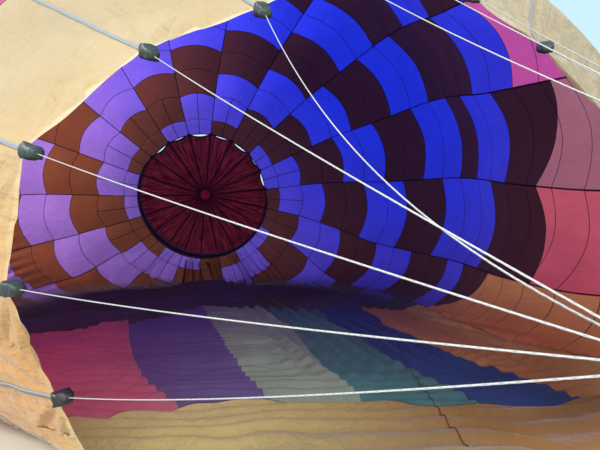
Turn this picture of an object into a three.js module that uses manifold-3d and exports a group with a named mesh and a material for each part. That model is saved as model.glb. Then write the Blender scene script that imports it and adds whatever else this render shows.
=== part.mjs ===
// Hot air balloon envelope, part way through cold inflation: it lies on its side with its
// mouth towards -Y and its crown towards +Y, flat where the cloth rests on the ground.
// Millimetres, +Z up, origin on the ground under the middle of the whole part.
import * as THREE from 'three';
import { mergeVertices } from 'three/addons/utils/BufferGeometryUtils.js';
import Module from 'manifold-3d';

const wasm = await Module();
wasm.setup();

// Driving dimensions
const SHELL = 10;                // cloth of the envelope, as one shell
const SEAM_GAP = 4.5;            // between sewn pieces that touch
const PANEL_GAP = 13;            // between the last panel of a gore and the mouth cloth
const GORES = 20;
const TAPE_WIDTH = 34;           // load tape sewn over each seam
const TAPE_PROUD = 3;            // how far a tape stands off the cloth
const TAPE_UNDER = 6;            // room for the tapes under the mouth cloth
const TAPE_CLEAR = 3;            // between the mouth cloth and the tapes over it
const TAPE_LIFT = 1;             // the tapes' lowest face above the ground
const MOUTH_Y = -7105;           // plane of the mouth
const MOUTH_CLOTH = 2000;        // width of the flame-resistant cloth at the mouth
const LOBE = 110;                // how far a gore bulges between its seams
const CORNER_SHARE = 0.35;       // width of the rounded corner at the ground, as a share of the radius
const GATHER_LENGTH = 5200;      // length of gore over which the mouth's upper left is gathered
const CROWN_OPENING = 2620;
const VALVE_RADIUS = 2760;
const FITTING_LENGTH = 120;
const WIRE_RADIUS = 5;
const VENT_LINE_RADIUS = 4;

// Sections of the envelope from crown to mouth:
// distance behind the mouth, radius, height of the widest level above the ground
const SECTIONS = [
  [16300, 2620, 3950],
  [16220, 3250, 3950],
  [15800, 4150, 3950],
  [15000, 4950, 3900],
  [13900, 5650, 3800],
  [12200, 6400, 3550],
  [10100, 6700, 3300],
  [8000, 6500, 3050],
  [5950, 5900, 2720],
  [3980, 5100, 2300],
  [2500, 4250, 1950],
  [1200, 3100, 1750],
  [0, 2150, 1600],
].map(([behind, radius, level]) => ({ behind, radius, level }));

const rad = THREE.MathUtils.degToRad;
const smooth = (from, to, x) => THREE.MathUtils.smoothstep(x, from, to);

// Length down a gore at each section, measured along the side of the envelope
SECTIONS.forEach((section, i) => {
  const before = SECTIONS[i - 1];
  section.run = i === 0 ? 0
    : before.run + Math.hypot(section.behind - before.behind, section.radius - before.radius);
});
const GORE_LENGTH = SECTIONS.at(-1).run;
const CLOTH_END = GORE_LENGTH - MOUTH_CLOTH;

// One quantity of the sections at any length down the gore, as a smooth curve through the table
function along(run, key) {
  const last = SECTIONS.length - 1;
  let i = 0;
  while (i < last - 1 && run > SECTIONS[i + 1].run) i += 1;
  const slope = (j) => {
    const a = SECTIONS[Math.max(j - 1, 0)];
    const b = SECTIONS[Math.min(j + 1, last)];
    return (b[key] - a[key]) / (b.run - a.run);
  };
  const a = SECTIONS[i];
  const b = SECTIONS[i + 1];
  const step = b.run - a.run;
  const t = (run - a.run) / step;
  return (2 * t ** 3 - 3 * t ** 2 + 1) * a[key] + (t ** 3 - 2 * t ** 2 + t) * step * slope(i)
    + (-2 * t ** 3 + 3 * t ** 2) * b[key] + (t ** 3 - t ** 2) * step * slope(i + 1);
}

// 1 in one direction, in degrees clockwise from the top, and down to 0 about width to either side
function towards(angle, centre, width) {
  const off = THREE.MathUtils.euclideanModulo(angle - centre + 180, 360) - 180;
  return Math.exp(-((off / width) ** 2));
}

// Direction of a seam round the section, in degrees clockwise from the top as seen from the mouth.
// The upper gores are stretched a little wider, and at the mouth's upper left they are gathered.
// The cloth isn't yet spread on the lower right, where it lies together.
function seamAngle(seam, run) {
  const even = 4 + 360 / GORES * seam;
  const crown = even + 7 * Math.sin(rad(even));
  const mouth = crown + 15 * towards(even, 333, 34) - 2.5 * towards(even, 0, 90);
  const bunched = 15 * towards(even, 124, 32) * smooth(0, 6000, run)
    * (1 - smooth(14800, 18200, run));
  return THREE.MathUtils.lerp(crown, mouth, smooth(GORE_LENGTH - GATHER_LENGTH, GORE_LENGTH, run))
    + bunched;
}

// Half of a section as a chain of points, from the top round to the middle of the ground
const ARC_STEPS = 40;
function halfSection(radius, level, lift) {
  const points = [];
  const drop = Math.min(level - lift, radius);
  const ratio = drop / radius;
  const corner = radius * (1 - (1 - CORNER_SHARE) * smooth(0, 0.3, 1 - ratio));
  for (let i = 0; i <= ARC_STEPS; i += 1) {
    const a = Math.PI / 2 * i / ARC_STEPS;
    points.push([radius * Math.sin(a), level + radius * Math.cos(a)]);
  }
  for (let i = 1; i <= ARC_STEPS; i += 1) {
    const a = Math.PI / 2 * i / ARC_STEPS;
    points.push([radius - corner + corner * Math.cos(a), level - drop * Math.sin(a)]);
  }
  if (corner < radius) points.push([0, level - drop]);
  return points;
}

// The mouth is drawn in by the wires on its left, and bellies out behind its edge on its right
function mouthPull(angle, run) {
  const up = GORE_LENGTH - run;
  const near = 1 - smooth(0, 2600, up);
  const belly = smooth(0, 1800, up) * (1 - smooth(2200, 6600, up));
  return 1
    + near * (0.18 * towards(angle, 80, 38) - 0.18 * towards(angle, 330, 28)
      - 0.11 * towards(angle, 243, 20))
    + belly * (0.36 * towards(angle, 68, 42) + 0.16 * towards(angle, 125, 28));
}

// The lower lip of the mouth lies askew on the ground: how far it is from straight, along Y
function mouthSkew(angle, run) {
  const lip = 1 - smooth(2000, 5000, GORE_LENGTH - run);
  return lip * (500 * towards(angle, 205, 40) - 700 * towards(angle, 112, 30));
}

// Inner face of the cloth: seam is the place round the envelope counted in gores. On the round
// upper part a seam keeps its direction, and the flattened part below shares out what is left.
function innerFace(seam, run) {
  const radius = along(run, 'radius');
  const level = along(run, 'level');
  const turned = THREE.MathUtils.euclideanModulo(seamAngle(seam, run) + 180, 360) - 180;
  const lift = SHELL + TAPE_UNDER * smooth(CLOTH_END - 600, CLOTH_END - 50, run);
  const points = halfSection(radius, level, lift);
  const lengths = [0];
  for (let i = 1; i < points.length; i += 1) {
    lengths.push(lengths[i - 1]
      + Math.hypot(points[i][0] - points[i - 1][0], points[i][1] - points[i - 1][1]));
  }
  const degree = rad(radius);
  const wanted = degree * Math.abs(turned)
    + (lengths.at(-1) - degree * 180) * smooth(95, 150, Math.abs(turned));
  let i = 1;
  while (i < points.length - 1 && lengths[i] < wanted) i += 1;
  const t = (wanted - lengths[i - 1]) / (lengths[i] - lengths[i - 1]);
  let x = THREE.MathUtils.lerp(points[i - 1][0], points[i][0], t) * Math.sign(turned || 1);
  let z = THREE.MathUtils.lerp(points[i - 1][1], points[i][1], t);
  const direction = THREE.MathUtils.radToDeg(Math.atan2(x, z - level));
  const pull = mouthPull(direction, run);
  const share = seam - Math.floor(seam);
  const free = smooth(SHELL, 900, z) * smooth(0, 1500, run)
    * (1 - smooth(GORE_LENGTH - 4500, GORE_LENGTH - 2100, run));
  const swell = 1 + LOBE / radius * free * Math.sin(Math.PI * share);
  x *= pull * swell;
  if (z > level) z = level + (z - level) * pull * swell;
  return new THREE.Vector3(x, MOUTH_Y + along(run, 'behind') + mouthSkew(direction, run), z);
}

// A point at a height off the inner face, outwards, never below the ground
const PROBE = 5;
function off(seam, run, height) {
  const at = innerFace(seam, run);
  const round = 0.02;
  const middle = Math.floor(seam) + 0.5;
  const probe = THREE.MathUtils.clamp(seam, middle - 0.5 + round, middle + 0.5 - round);
  const side = innerFace(probe + round, run).sub(innerFace(probe - round, run));
  const down = innerFace(seam, Math.min(run + PROBE, GORE_LENGTH))
    .sub(innerFace(seam, Math.max(run - PROBE, 0)));
  const normal = down.cross(side).normalize();
  at.addScaledVector(normal, height);
  at.z = Math.max(at.z, 0);
  return at;
}

// Lengths down the gore where the shell has a row of points
const rows = (from, to, count, ease = 1) => Array.from({ length: count + 1 },
  (_, i) => from + (to - from) * (i / count) ** ease);

// A closed sheet between two heights off the inner face. grid(i, j, height) gives its points.
function sheet(columns, lines, grid, low, high) {
  const position = [];
  const index = [];
  const id = (i, j, layer) => (i * (lines + 1) + j) * 2 + layer;
  for (let i = 0; i <= columns; i += 1) {
    for (let j = 0; j <= lines; j += 1) {
      position.push(...grid(i, j, low).toArray(), ...grid(i, j, high).toArray());
    }
  }
  const quad = (a, b, c, d) => index.push(a, b, c, a, c, d);
  for (let i = 0; i < columns; i += 1) {
    for (let j = 0; j < lines; j += 1) {
      quad(id(i, j, 1), id(i, j + 1, 1), id(i + 1, j + 1, 1), id(i + 1, j, 1));
      quad(id(i, j, 0), id(i + 1, j, 0), id(i + 1, j + 1, 0), id(i, j + 1, 0));
    }
    quad(id(i, 0, 0), id(i, 0, 1), id(i + 1, 0, 1), id(i + 1, 0, 0));
    quad(id(i, lines, 0), id(i + 1, lines, 0), id(i + 1, lines, 1), id(i, lines, 1));
  }
  for (let j = 0; j < lines; j += 1) {
    quad(id(0, j, 0), id(0, j + 1, 0), id(0, j + 1, 1), id(0, j, 1));
    quad(id(columns, j, 0), id(columns, j, 1), id(columns, j + 1, 1), id(columns, j + 1, 0));
  }
  const geometry = new THREE.BufferGeometry();
  geometry.setAttribute('position', new THREE.Float32BufferAttribute(position, 3));
  geometry.setIndex(index);
  return geometry;
}

// The same sheet with only some of its cells, joined edge to edge
function lattice(columns, lines, kept, grid, low, high) {
  const position = [];
  const index = [];
  const id = (i, j, layer) => (i * (lines + 1) + j) * 2 + layer;
  for (let i = 0; i <= columns; i += 1) {
    for (let j = 0; j <= lines; j += 1) {
      position.push(...grid(i, j, low).toArray(), ...grid(i, j, high).toArray());
    }
  }
  const quad = (a, b, c, d) => index.push(a, b, c, a, c, d);
  for (let i = 0; i < columns; i += 1) {
    for (let j = 0; j < lines; j += 1) {
      if (!kept(i, j)) continue;
      quad(id(i, j, 1), id(i, j + 1, 1), id(i + 1, j + 1, 1), id(i + 1, j, 1));
      quad(id(i, j, 0), id(i + 1, j, 0), id(i + 1, j + 1, 0), id(i, j + 1, 0));
      if (!kept(i, j - 1)) quad(id(i, j, 0), id(i, j, 1), id(i + 1, j, 1), id(i + 1, j, 0));
      if (!kept(i, j + 1)) {
        quad(id(i, j + 1, 0), id(i + 1, j + 1, 0), id(i + 1, j + 1, 1), id(i, j + 1, 1));
      }
      if (!kept(i - 1, j)) quad(id(i, j, 0), id(i, j + 1, 0), id(i, j + 1, 1), id(i, j, 1));
      if (!kept(i + 1, j)) {
        quad(id(i + 1, j, 0), id(i + 1, j, 1), id(i + 1, j + 1, 1), id(i + 1, j + 1, 0));
      }
    }
  }
  const used = [...new Set(index)].sort((a, b) => a - b);
  const renumber = new Map(used.map((old, n) => [old, n]));
  const geometry = new THREE.BufferGeometry();
  geometry.setAttribute('position', new THREE.Float32BufferAttribute(
    used.flatMap((old) => position.slice(old * 3, old * 3 + 3)), 3));
  geometry.setIndex(index.map((old) => renumber.get(old)));
  return geometry;
}

// Solids for joining and cutting
function solid(geometry) {
  const bare = geometry.clone();
  bare.deleteAttribute('normal');
  bare.deleteAttribute('uv');
  const merged = mergeVertices(bare, 1e-3);
  return new wasm.Manifold(new wasm.Mesh({
    numProp: 3,
    vertProperties: new Float32Array(merged.attributes.position.array),
    triVerts: new Uint32Array(merged.index.array),
  }));
}

function surface(manifold) {
  const mesh = manifold.getMesh();
  const geometry = new THREE.BufferGeometry();
  geometry.setAttribute('position', new THREE.Float32BufferAttribute(mesh.vertProperties, 3));
  geometry.setIndex(Array.from(mesh.triVerts));
  return geometry;
}

const joined = (solids) => solids.reduce((all, one) => all.add(one));

// A round bar along a path, with closed ends
function bar(path, radius, sides, steps) {
  const section = new THREE.Shape();
  for (let i = 0; i < sides; i += 1) {
    const a = 2 * Math.PI * i / sides;
    const point = [radius * Math.cos(a), radius * Math.sin(a)];
    if (i === 0) section.moveTo(...point);
    else section.lineTo(...point);
  }
  section.closePath();
  return new THREE.ExtrudeGeometry(section, { steps, extrudePath: path, bevelEnabled: false });
}

const straight = (a, b) => new THREE.LineCurve3(a, b);

// Materials
const material = (color, roughness, metalness = 0) => new THREE.MeshStandardMaterial({
  color, roughness, metalness,
});
const CLOTH_BY_GORE = [
  0x5a3ac0, 0x6a3f2c, 0xf05faf, 0xaf6473, 0xd75564, 0xbe694b, 0xaf823c, 0x323c82, 0x466e69,
  0x787d64, 0x554173, 0x964b5f, 0xaf823c, 0xbe694b, 0xd75564, 0xaf6473, 0xf05faf, 0x5a3ac0,
  0x323c82, 0x466e69,
].map((color) => material(color, 0.55));
const creamCloth = material(0xe6d4aa, 0.7);
const greyTape = material(0x7d8c96, 0.75);
const valveCloth = material(0x4b1423, 0.6);
const redCloth = material(0xd71e37, 0.6);
const blackTape = material(0x141214, 0.8);
const whiteLine = material(0xe8e6e0, 0.6);
const slateCover = material(0x3c5555, 0.8);
const darkRedLine = material(0x5a1018, 0.7);
const steel = material(0xb8babd, 0.3, 0.9);
const blackPlastic = material(0x1c1c1e, 0.5);

const envelope = new THREE.Group();
function add(name, geometry, finish) {
  const mesh = new THREE.Mesh(geometry, finish);
  mesh.name = name;
  envelope.add(mesh);
  return mesh;
}
const two = (n) => String(n).padStart(2, '0');

// Place across a gore, in gores, that is a real distance to one side of a seam
function beside(seam, run, distance) {
  const probe = 0.02;
  const size = innerFace(seam + probe, run).distanceTo(innerFace(seam, run));
  return seam + probe * distance / size;
}

// Gores of the envelope, each one shell from the crown opening to the mouth cloth
const GORE_ROWS = [...rows(0, CLOTH_END - 60, 14, 1.2), CLOTH_END];
const GORE_COLUMNS = 4;
const half = TAPE_WIDTH / 2 + SEAM_GAP;
for (let g = 0; g < GORES; g += 1) {
  const grid = (i, j, height) => {
    const run = GORE_ROWS[j];
    const left = beside(g, run, half);
    const right = g + 1 - (beside(g + 1, run, half) - (g + 1));
    return off(THREE.MathUtils.lerp(left, right, i / GORE_COLUMNS), run, height);
  };
  add(`gore_${two(g)}`, sheet(GORE_COLUMNS, GORE_ROWS.length - 1, grid, 0, SHELL), CLOTH_BY_GORE[g]);
}

// Mouth cloth in four panels, one to each corner of the rigging, each five gores wide
const CORNERS = 4;
const PER_CORNER = GORES / CORNERS;
const FIRST_SEAM = 14;
const HEM = 45;                  // hem tape of the mouth
const MOUTH_ROWS = [...rows(CLOTH_END + PANEL_GAP, GORE_LENGTH - HEM, 4), GORE_LENGTH];
const MOUTH_COLUMNS = 20;
for (let c = 0; c < CORNERS; c += 1) {
  const from = FIRST_SEAM - 0.5 + c * PER_CORNER;
  const grid = (i, j, height) => {
    const run = MOUTH_ROWS[j];
    const slack = beside(from, run, SEAM_GAP) - from;
    return off(from + slack + (PER_CORNER - 2 * slack) * i / MOUTH_COLUMNS, run, height);
  };
  add(`mouth_cloth_${c + 1}`, sheet(MOUTH_COLUMNS, MOUTH_ROWS.length - 1, grid, 0, SHELL), creamCloth);
}

// Load tapes: one in the seam beside each gore, over the mouth cloth below it, and joined by
// the hem tape of the mouth. Each corner of the rigging has five tapes and a quarter of the hem.
const TAPE_ROWS = [...GORE_ROWS, ...MOUTH_ROWS];
function tapeHeight(run, height) {
  const over = run > CLOTH_END - 50;
  if (height > SHELL) return over ? SHELL + TAPE_UNDER : SHELL + TAPE_PROUD;
  return over ? SHELL + TAPE_CLEAR : -TAPE_PROUD;
}
for (let c = 0; c < CORNERS; c += 1) {
  const first = FIRST_SEAM + c * PER_CORNER;
  const edges = [[first - 0.5, SEAM_GAP * 2]];
  for (let k = first; k < first + PER_CORNER; k += 1) {
    edges.push([k - 0.25, 0], [k, -TAPE_WIDTH / 2], [k, TAPE_WIDTH / 2], [k + 0.25, 0], [k + 0.5, 0]);
  }
  edges.at(-1)[1] = -SEAM_GAP * 2;
  const columns = edges.length - 1;
  const lines = TAPE_ROWS.length - 1;
  const inside = (i, j) => i >= 0 && i < columns && j >= 0 && j < lines;
  const kept = (i, j) => inside(i, j) && (i % 5 === 2 || j === lines - 1);
  const grid = (i, j, height) => {
    const run = TAPE_ROWS[j];
    const [seam, distance] = edges[i];
    const shift = beside(seam, run, Math.abs(distance)) - seam;
    const point = off(seam + Math.sign(distance) * shift, run, tapeHeight(run, height));
    point.z = Math.max(point.z, TAPE_LIFT);
    return point;
  };
  add(`load_tapes_${c + 1}`, lattice(columns, lines, kept, grid, 0, SHELL + TAPE_PROUD), greyTape);
}

// Crown: the rim tape round the opening
const CROWN_Y = MOUTH_Y + SECTIONS[0].behind;
const CROWN_LEVEL = SECTIONS[0].level;
function crownPlaced(geometry) {
  geometry.translate(0, CROWN_Y, CROWN_LEVEL);
  return geometry;
}
const RIM_WIDTH = 50;
const RIM_GAP = 12;              // room for the flats of both rims
const RIM_SIDES = 2 * GORES;
const rimPart = new THREE.LatheGeometry([
  [CROWN_OPENING - RIM_WIDTH, -1], [CROWN_OPENING - RIM_GAP, -1],
  [CROWN_OPENING - RIM_GAP, SHELL + 2], [CROWN_OPENING - RIM_WIDTH, SHELL + 2],
  [CROWN_OPENING - RIM_WIDTH, -1],
].map(([x, y]) => new THREE.Vector2(x, y)), RIM_SIDES);
add('crown_rim_tape', crownPlaced(surface(solid(rimPart))), greyTape);

// Crown tapes: flat straps that carry the load tapes on over the valve to the crown ring
const STRAP = 4;
const STRAP_GAP = 16;
const CROWN_RISE = 150;
const HUB_OUTER = 165;
const HUB_INNER = 105;
const STRAP_STEPS = 3;
const STRAP_END = CROWN_OPENING + 30;
const domed = (r, rise) => rise * (1 - (r / STRAP_END) ** 2);
function strap(seam) {
  const position = [];
  const index = [];
  for (let i = 0; i <= STRAP_STEPS; i += 1) {
    const r = THREE.MathUtils.lerp(HUB_OUTER - 20, STRAP_END, i / STRAP_STEPS);
    const y = STRAP_GAP + domed(r, CROWN_RISE);
    const w = TAPE_WIDTH / 2;
    position.push(-w, y, r, w, y, r, w, y + STRAP, r, -w, y + STRAP, r);
  }
  for (let i = 0; i < STRAP_STEPS; i += 1) {
    for (let side = 0; side < 4; side += 1) {
      const a = i * 4 + side;
      const b = i * 4 + (side + 1) % 4;
      index.push(a, b, b + 4, a, b + 4, a + 4);
    }
  }
  const e = STRAP_STEPS * 4;
  index.push(0, 2, 1, 0, 3, 2, e, e + 1, e + 2, e, e + 2, e + 3);
  const geometry = new THREE.BufferGeometry();
  geometry.setAttribute('position', new THREE.Float32BufferAttribute(position, 3));
  geometry.setIndex(index);
  geometry.rotateY(rad(seamAngle(seam, 0)));
  return geometry;
}
const HUB_SIDES = 20;
const hubRing = (inner, outer, y, thick) => new THREE.LatheGeometry([
  [inner, y], [outer, y], [outer, y + thick], [inner, y + thick], [inner, y],
].map(([r, h]) => new THREE.Vector2(r, h)), HUB_SIDES);
const hubY = STRAP_GAP + domed(HUB_OUTER - 20, CROWN_RISE);
const straps = [solid(hubRing(HUB_INNER + 35, HUB_OUTER, hubY - 1, STRAP + 2))];
for (let k = 0; k < GORES; k += 1) straps.push(solid(strap(k)));
add('crown_tapes', crownPlaced(surface(joined(straps))), greyTape);

// Crown ring: a flat steel ring inside the loops of the crown tapes
const RING_THICK = 12;
add('crown_ring', crownPlaced(surface(solid(
  hubRing(HUB_INNER, HUB_INNER + 34, hubY - 4, RING_THICK)))), steel);

// Parachute valve: a disc of cloth that closes the crown opening from inside
const VALVE_SIDES = 40;
const VALVE_SEAT = -34;          // outer face of its rim, from the plane of the opening
const VALVE_RISE = 110;
const valveFace = (r) => VALVE_SEAT + VALVE_RISE * Math.max(0, 1 - (r / (CROWN_OPENING - 80)) ** 2);
const valveRadii = [0, 700, 1400, 2050, CROWN_OPENING - 80, VALVE_RADIUS];
const valveProfile = [
  ...valveRadii.map((r) => [r, valveFace(r) - SHELL]),
  ...valveRadii.toReversed().map((r) => [r, valveFace(r)]),
].map(([r, y]) => new THREE.Vector2(r, y));
const valve = new THREE.Group();
valve.position.set(0, CROWN_Y, CROWN_LEVEL);
envelope.add(valve);
function addToValve(name, geometry, finish) {
  const mesh = new THREE.Mesh(geometry, finish);
  mesh.name = name;
  valve.add(mesh);
}
const valveDisc = new THREE.LatheGeometry(valveProfile, VALVE_SIDES);
addToValve('parachute_valve', surface(solid(valveDisc)), valveCloth);

// Black edge tape sewn to the inside of the valve's rim
const EDGE_WIDTH = 90;
const edgeTop = VALVE_SEAT - SHELL - SEAM_GAP;
addToValve('valve_edge_tape', surface(solid(new THREE.LatheGeometry([
  [VALVE_RADIUS - EDGE_WIDTH, edgeTop - 4], [VALVE_RADIUS, edgeTop - 4],
  [VALVE_RADIUS, edgeTop], [VALVE_RADIUS - EDGE_WIDTH, edgeTop],
  [VALVE_RADIUS - EDGE_WIDTH, edgeTop - 4],
].map(([r, y]) => new THREE.Vector2(r, y)), VALVE_SIDES))), blackTape);

// Red patch at the middle of the valve
const PATCH_RADIUS = 200;
const patchTop = valveFace(0) - SHELL - 3;
const patch = new THREE.CylinderGeometry(PATCH_RADIUS, PATCH_RADIUS, 6, 24);
patch.translate(0, patchTop - 3, 0);
addToValve('valve_centre_patch', surface(solid(patch)), redCloth);

// Valve lines: from the rim of the valve to the ring that the vent line pulls on
const LINE_COUNT = 10;
const LINE_RADIUS = 4;
const PULL_DEPTH = -1100;        // the pull ring, from the plane of the opening
const PULL_RING = 30;
const pullRing = new THREE.TorusGeometry(PULL_RING, 7, 6, 12);
pullRing.rotateX(Math.PI / 2);
pullRing.translate(0, PULL_DEPTH, 0);
const lines = [solid(pullRing)];
for (let i = 0; i < LINE_COUNT; i += 1) {
  const a = rad(seamAngle(2 * i + 1, 0));
  const out = (r, y) => new THREE.Vector3(r * Math.sin(a), y, r * Math.cos(a));
  lines.push(solid(bar(straight(out(PULL_RING, PULL_DEPTH),
    out(VALVE_RADIUS - EDGE_WIDTH / 2, edgeTop - 12)), LINE_RADIUS, 6, 1)));
}
addToValve('valve_lines', surface(joined(lines)), blackTape);

// Corners of the burner frame that the flying wires meet at: across, in front of the mouth, height
const CORNER_POINTS = [
  [-300, -2150, 1480], [500, -2150, 1730], [750, -2150, 930], [-50, -2150, 680],
].map(([x, front, z]) => new THREE.Vector3(x, MOUTH_Y + front, z));

// Flying wires: five to a corner, each from a covered loop at the end of a load tape to a ring
const THIMBLE = 20;
const THIMBLE_BAR = 5;
const SWAGE = 11;                // radius of the lump that grips the wires' ends
const COVER_GAP = 34;
const COVER_WIDTH = 54;
const COVER_DEPTH = 30;
CORNER_POINTS.forEach((corner, c) => {
  const ring = new THREE.TorusGeometry(THIMBLE, THIMBLE_BAR, 6, 12);
  ring.rotateY(Math.PI / 2);
  ring.translate(corner.x, corner.y, corner.z);
  const meet = corner.clone().add(new THREE.Vector3(0, THIMBLE, 0));
  const swage = new THREE.SphereGeometry(SWAGE, 12, 8);
  swage.translate(meet.x, meet.y, meet.z);
  const parts = [solid(ring).add(solid(swage))];
  for (let k = 0; k < PER_CORNER; k += 1) {
    const end = off(FIRST_SEAM + c * PER_CORNER + k, GORE_LENGTH, SHELL + 2);
    end.z = Math.max(end.z, COVER_DEPTH);
    const direction = meet.clone().sub(end).normalize();
    const start = end.clone().addScaledVector(direction, COVER_GAP);
    parts.push(solid(bar(straight(start, meet), WIRE_RADIUS, 6, 1)));
    const cover = new THREE.CylinderGeometry(COVER_WIDTH * 0.3, COVER_WIDTH / 2, FITTING_LENGTH, 6);
    cover.scale(1, 1, COVER_DEPTH / COVER_WIDTH);
    cover.translate(0, FITTING_LENGTH / 2, 0);
    const turn = new THREE.Quaternion().setFromUnitVectors(new THREE.Vector3(0, 1, 0), direction);
    cover.applyQuaternion(turn);
    cover.translate(start.x, start.y, start.z);
    parts.push(solid(cover));
  }
  add(`flying_wires_${c + 1}`, surface(joined(parts)), whiteLine);
});

// Karabiners: each a flat steel hook through the ring of its five wires, with a sprung gate
const LINK_LENGTH = 120;
const LINK_WIDTH = 70;
const LINK_BAR = 13;
const LINK_THICK = 12;
const GATE_FROM = -26;           // gate opening, along the karabiner from the wire ring
const GATE_TO = -92;
const GATE_BAR = 10;
const GATE_PLAY = 1.2;
function rounded(shape, x0, y0, x1, y1, r) {
  shape.moveTo(x0 + r, y0);
  shape.lineTo(x1 - r, y0);
  shape.absarc(x1 - r, y0 + r, r, -Math.PI / 2, 0, false);
  shape.lineTo(x1, y1 - r);
  shape.absarc(x1 - r, y1 - r, r, 0, Math.PI / 2, false);
  shape.lineTo(x0 + r, y1);
  shape.absarc(x0 + r, y1 - r, r, Math.PI / 2, Math.PI, false);
  shape.lineTo(x0, y0 + r);
  shape.absarc(x0 + r, y0 + r, r, Math.PI, 3 * Math.PI / 2, false);
  return shape;
}
CORNER_POINTS.forEach((corner, c) => {
  const top = LINK_BAR / 2;
  const side = LINK_WIDTH / 2;
  const outline = rounded(new THREE.Shape(), -side, top - LINK_LENGTH, side, top, 26);
  outline.holes.push(rounded(new THREE.Path(), -side + LINK_BAR, top - LINK_LENGTH + LINK_BAR,
    side - LINK_BAR, top - LINK_BAR, 14));
  const plate = new THREE.ExtrudeGeometry(outline, {
    depth: LINK_THICK, bevelEnabled: false, curveSegments: 4,
  });
  plate.translate(0, 0, -LINK_THICK / 2);
  const cut = new THREE.BoxGeometry(LINK_BAR * 2, GATE_FROM - GATE_TO, LINK_THICK * 2);
  const gateX = side - LINK_BAR / 2;
  cut.translate(gateX, (GATE_FROM + GATE_TO) / 2, 0);
  const link = new THREE.Group();
  link.position.copy(corner);
  envelope.add(link);
  const body = new THREE.Mesh(surface(solid(plate).subtract(solid(cut))), steel);
  body.name = `karabiner_${c + 1}`;
  link.add(body);

  const gateShape = new THREE.Shape();
  const r = GATE_BAR / 2;
  const low = GATE_TO + GATE_PLAY + r;
  const high = GATE_FROM - GATE_PLAY;
  gateShape.moveTo(r, low);
  gateShape.lineTo(r, high);
  gateShape.lineTo(-r, high);
  gateShape.lineTo(-r, low);
  gateShape.absarc(0, low, r, Math.PI, 2 * Math.PI, false);
  const gate = new THREE.ExtrudeGeometry(gateShape, {
    depth: LINK_THICK - 2, bevelEnabled: false, curveSegments: 6,
  });
  gate.translate(gateX, 0, -(LINK_THICK - 2) / 2);
  const arm = new THREE.Mesh(surface(solid(gate)), steel);
  arm.name = `karabiner_gate_${c + 1}`;
  link.add(arm);
});

// Vent line: from the pull ring down to the cloth on the ground and along it to the mouth.
// Each point is across, behind the mouth, and height of its middle.
const VENT_ON_CLOTH = SHELL + TAPE_PROUD + VENT_LINE_RADIUS + 1;
const VENT_ON_MOUTH = VENT_ON_CLOTH + TAPE_UNDER;
const VENT_ROUTE = [
  [8, 15188, 3912], [14, 15186, 3850], [130, 15160, 3300], [290, 15090, 2500], [400, 14960, 1600],
  [480, 14760, 800], [560, 14480, 260], [680, 14150, 60], [840, 13800, VENT_ON_CLOTH],
  [1150, 13150, VENT_ON_CLOTH], [1900, 12300, VENT_ON_CLOTH], [2450, 11500, VENT_ON_CLOTH],
  [3050, 10500, VENT_ON_CLOTH], [3250, 9500, VENT_ON_CLOTH], [3180, 8600, VENT_ON_CLOTH],
  [3350, 7600, VENT_ON_CLOTH], [3250, 6700, VENT_ON_CLOTH], [2880, 5800, VENT_ON_CLOTH],
  [2700, 4900, VENT_ON_CLOTH], [2450, 4000, VENT_ON_CLOTH], [2050, 3100, VENT_ON_CLOTH],
  [1750, 2300, VENT_ON_MOUTH], [1480, 1500, VENT_ON_MOUTH], [1250, 800, VENT_ON_MOUTH],
  [1130, 400, VENT_ON_MOUTH],
].map(([x, behind, z]) => new THREE.Vector3(x, MOUTH_Y + behind, z));
class LaidCurve extends THREE.CatmullRomCurve3 {
  getPoint(t, target) {
    const point = super.getPoint(t, target);
    const behind = point.y - MOUTH_Y;
    const rest = behind > 2600 ? VENT_ON_CLOTH : VENT_ON_MOUTH;
    point.z = Math.max(point.z, rest);
    return point;
  }
}
const ventPath = new LaidCurve(VENT_ROUTE, false, 'centripetal');
add('vent_line', surface(solid(bar(ventPath, VENT_LINE_RADIUS, 6, 60))), darkRedLine);

// Ring at the free end of the vent line, where it is clipped to the burner frame
const endRing = new THREE.TorusGeometry(20, 4, 6, 12);
const ventEnd = VENT_ROUTE.at(-1);
endRing.translate(ventEnd.x - 8, ventEnd.y - 26, ventEnd.z);
add('vent_line_ring', surface(solid(endRing)), steel);

export default envelope;
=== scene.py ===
"""Hot air balloon envelope, lying on its side and part filled, seen in at its mouth.

Metres, +Z up, the mouth towards -Y and the crown towards +Y. Each section below makes one piece
of the envelope, or one group of like pieces, in the order in which the real one is put together.
"""

import math

import bpy
import numpy as np
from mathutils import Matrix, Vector, noise


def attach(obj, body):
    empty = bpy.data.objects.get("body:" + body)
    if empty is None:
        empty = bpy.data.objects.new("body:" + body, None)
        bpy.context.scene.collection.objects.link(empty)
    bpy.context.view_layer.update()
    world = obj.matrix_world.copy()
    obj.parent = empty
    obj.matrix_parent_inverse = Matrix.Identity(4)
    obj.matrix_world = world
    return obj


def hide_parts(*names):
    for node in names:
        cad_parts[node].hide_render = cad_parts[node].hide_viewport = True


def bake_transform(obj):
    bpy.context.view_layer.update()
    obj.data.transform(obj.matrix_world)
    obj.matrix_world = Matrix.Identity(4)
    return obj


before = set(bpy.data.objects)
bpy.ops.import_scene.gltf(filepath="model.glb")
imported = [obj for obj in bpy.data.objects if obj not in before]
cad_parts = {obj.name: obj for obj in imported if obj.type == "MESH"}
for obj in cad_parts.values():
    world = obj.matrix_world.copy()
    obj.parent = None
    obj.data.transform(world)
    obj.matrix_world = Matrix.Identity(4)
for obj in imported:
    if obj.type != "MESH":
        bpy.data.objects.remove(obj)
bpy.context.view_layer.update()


# Camera: at eye height in front of the mouth, turned a little to its right and up.
# The lens is a phone's main lens.
camera_data = bpy.data.cameras.new("camera")
camera_data.lens = 26.0
camera_data.sensor_width = 36.0
camera = bpy.data.objects.new("camera", camera_data)
camera.location = (-1.20, -9.805, 1.70)
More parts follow.
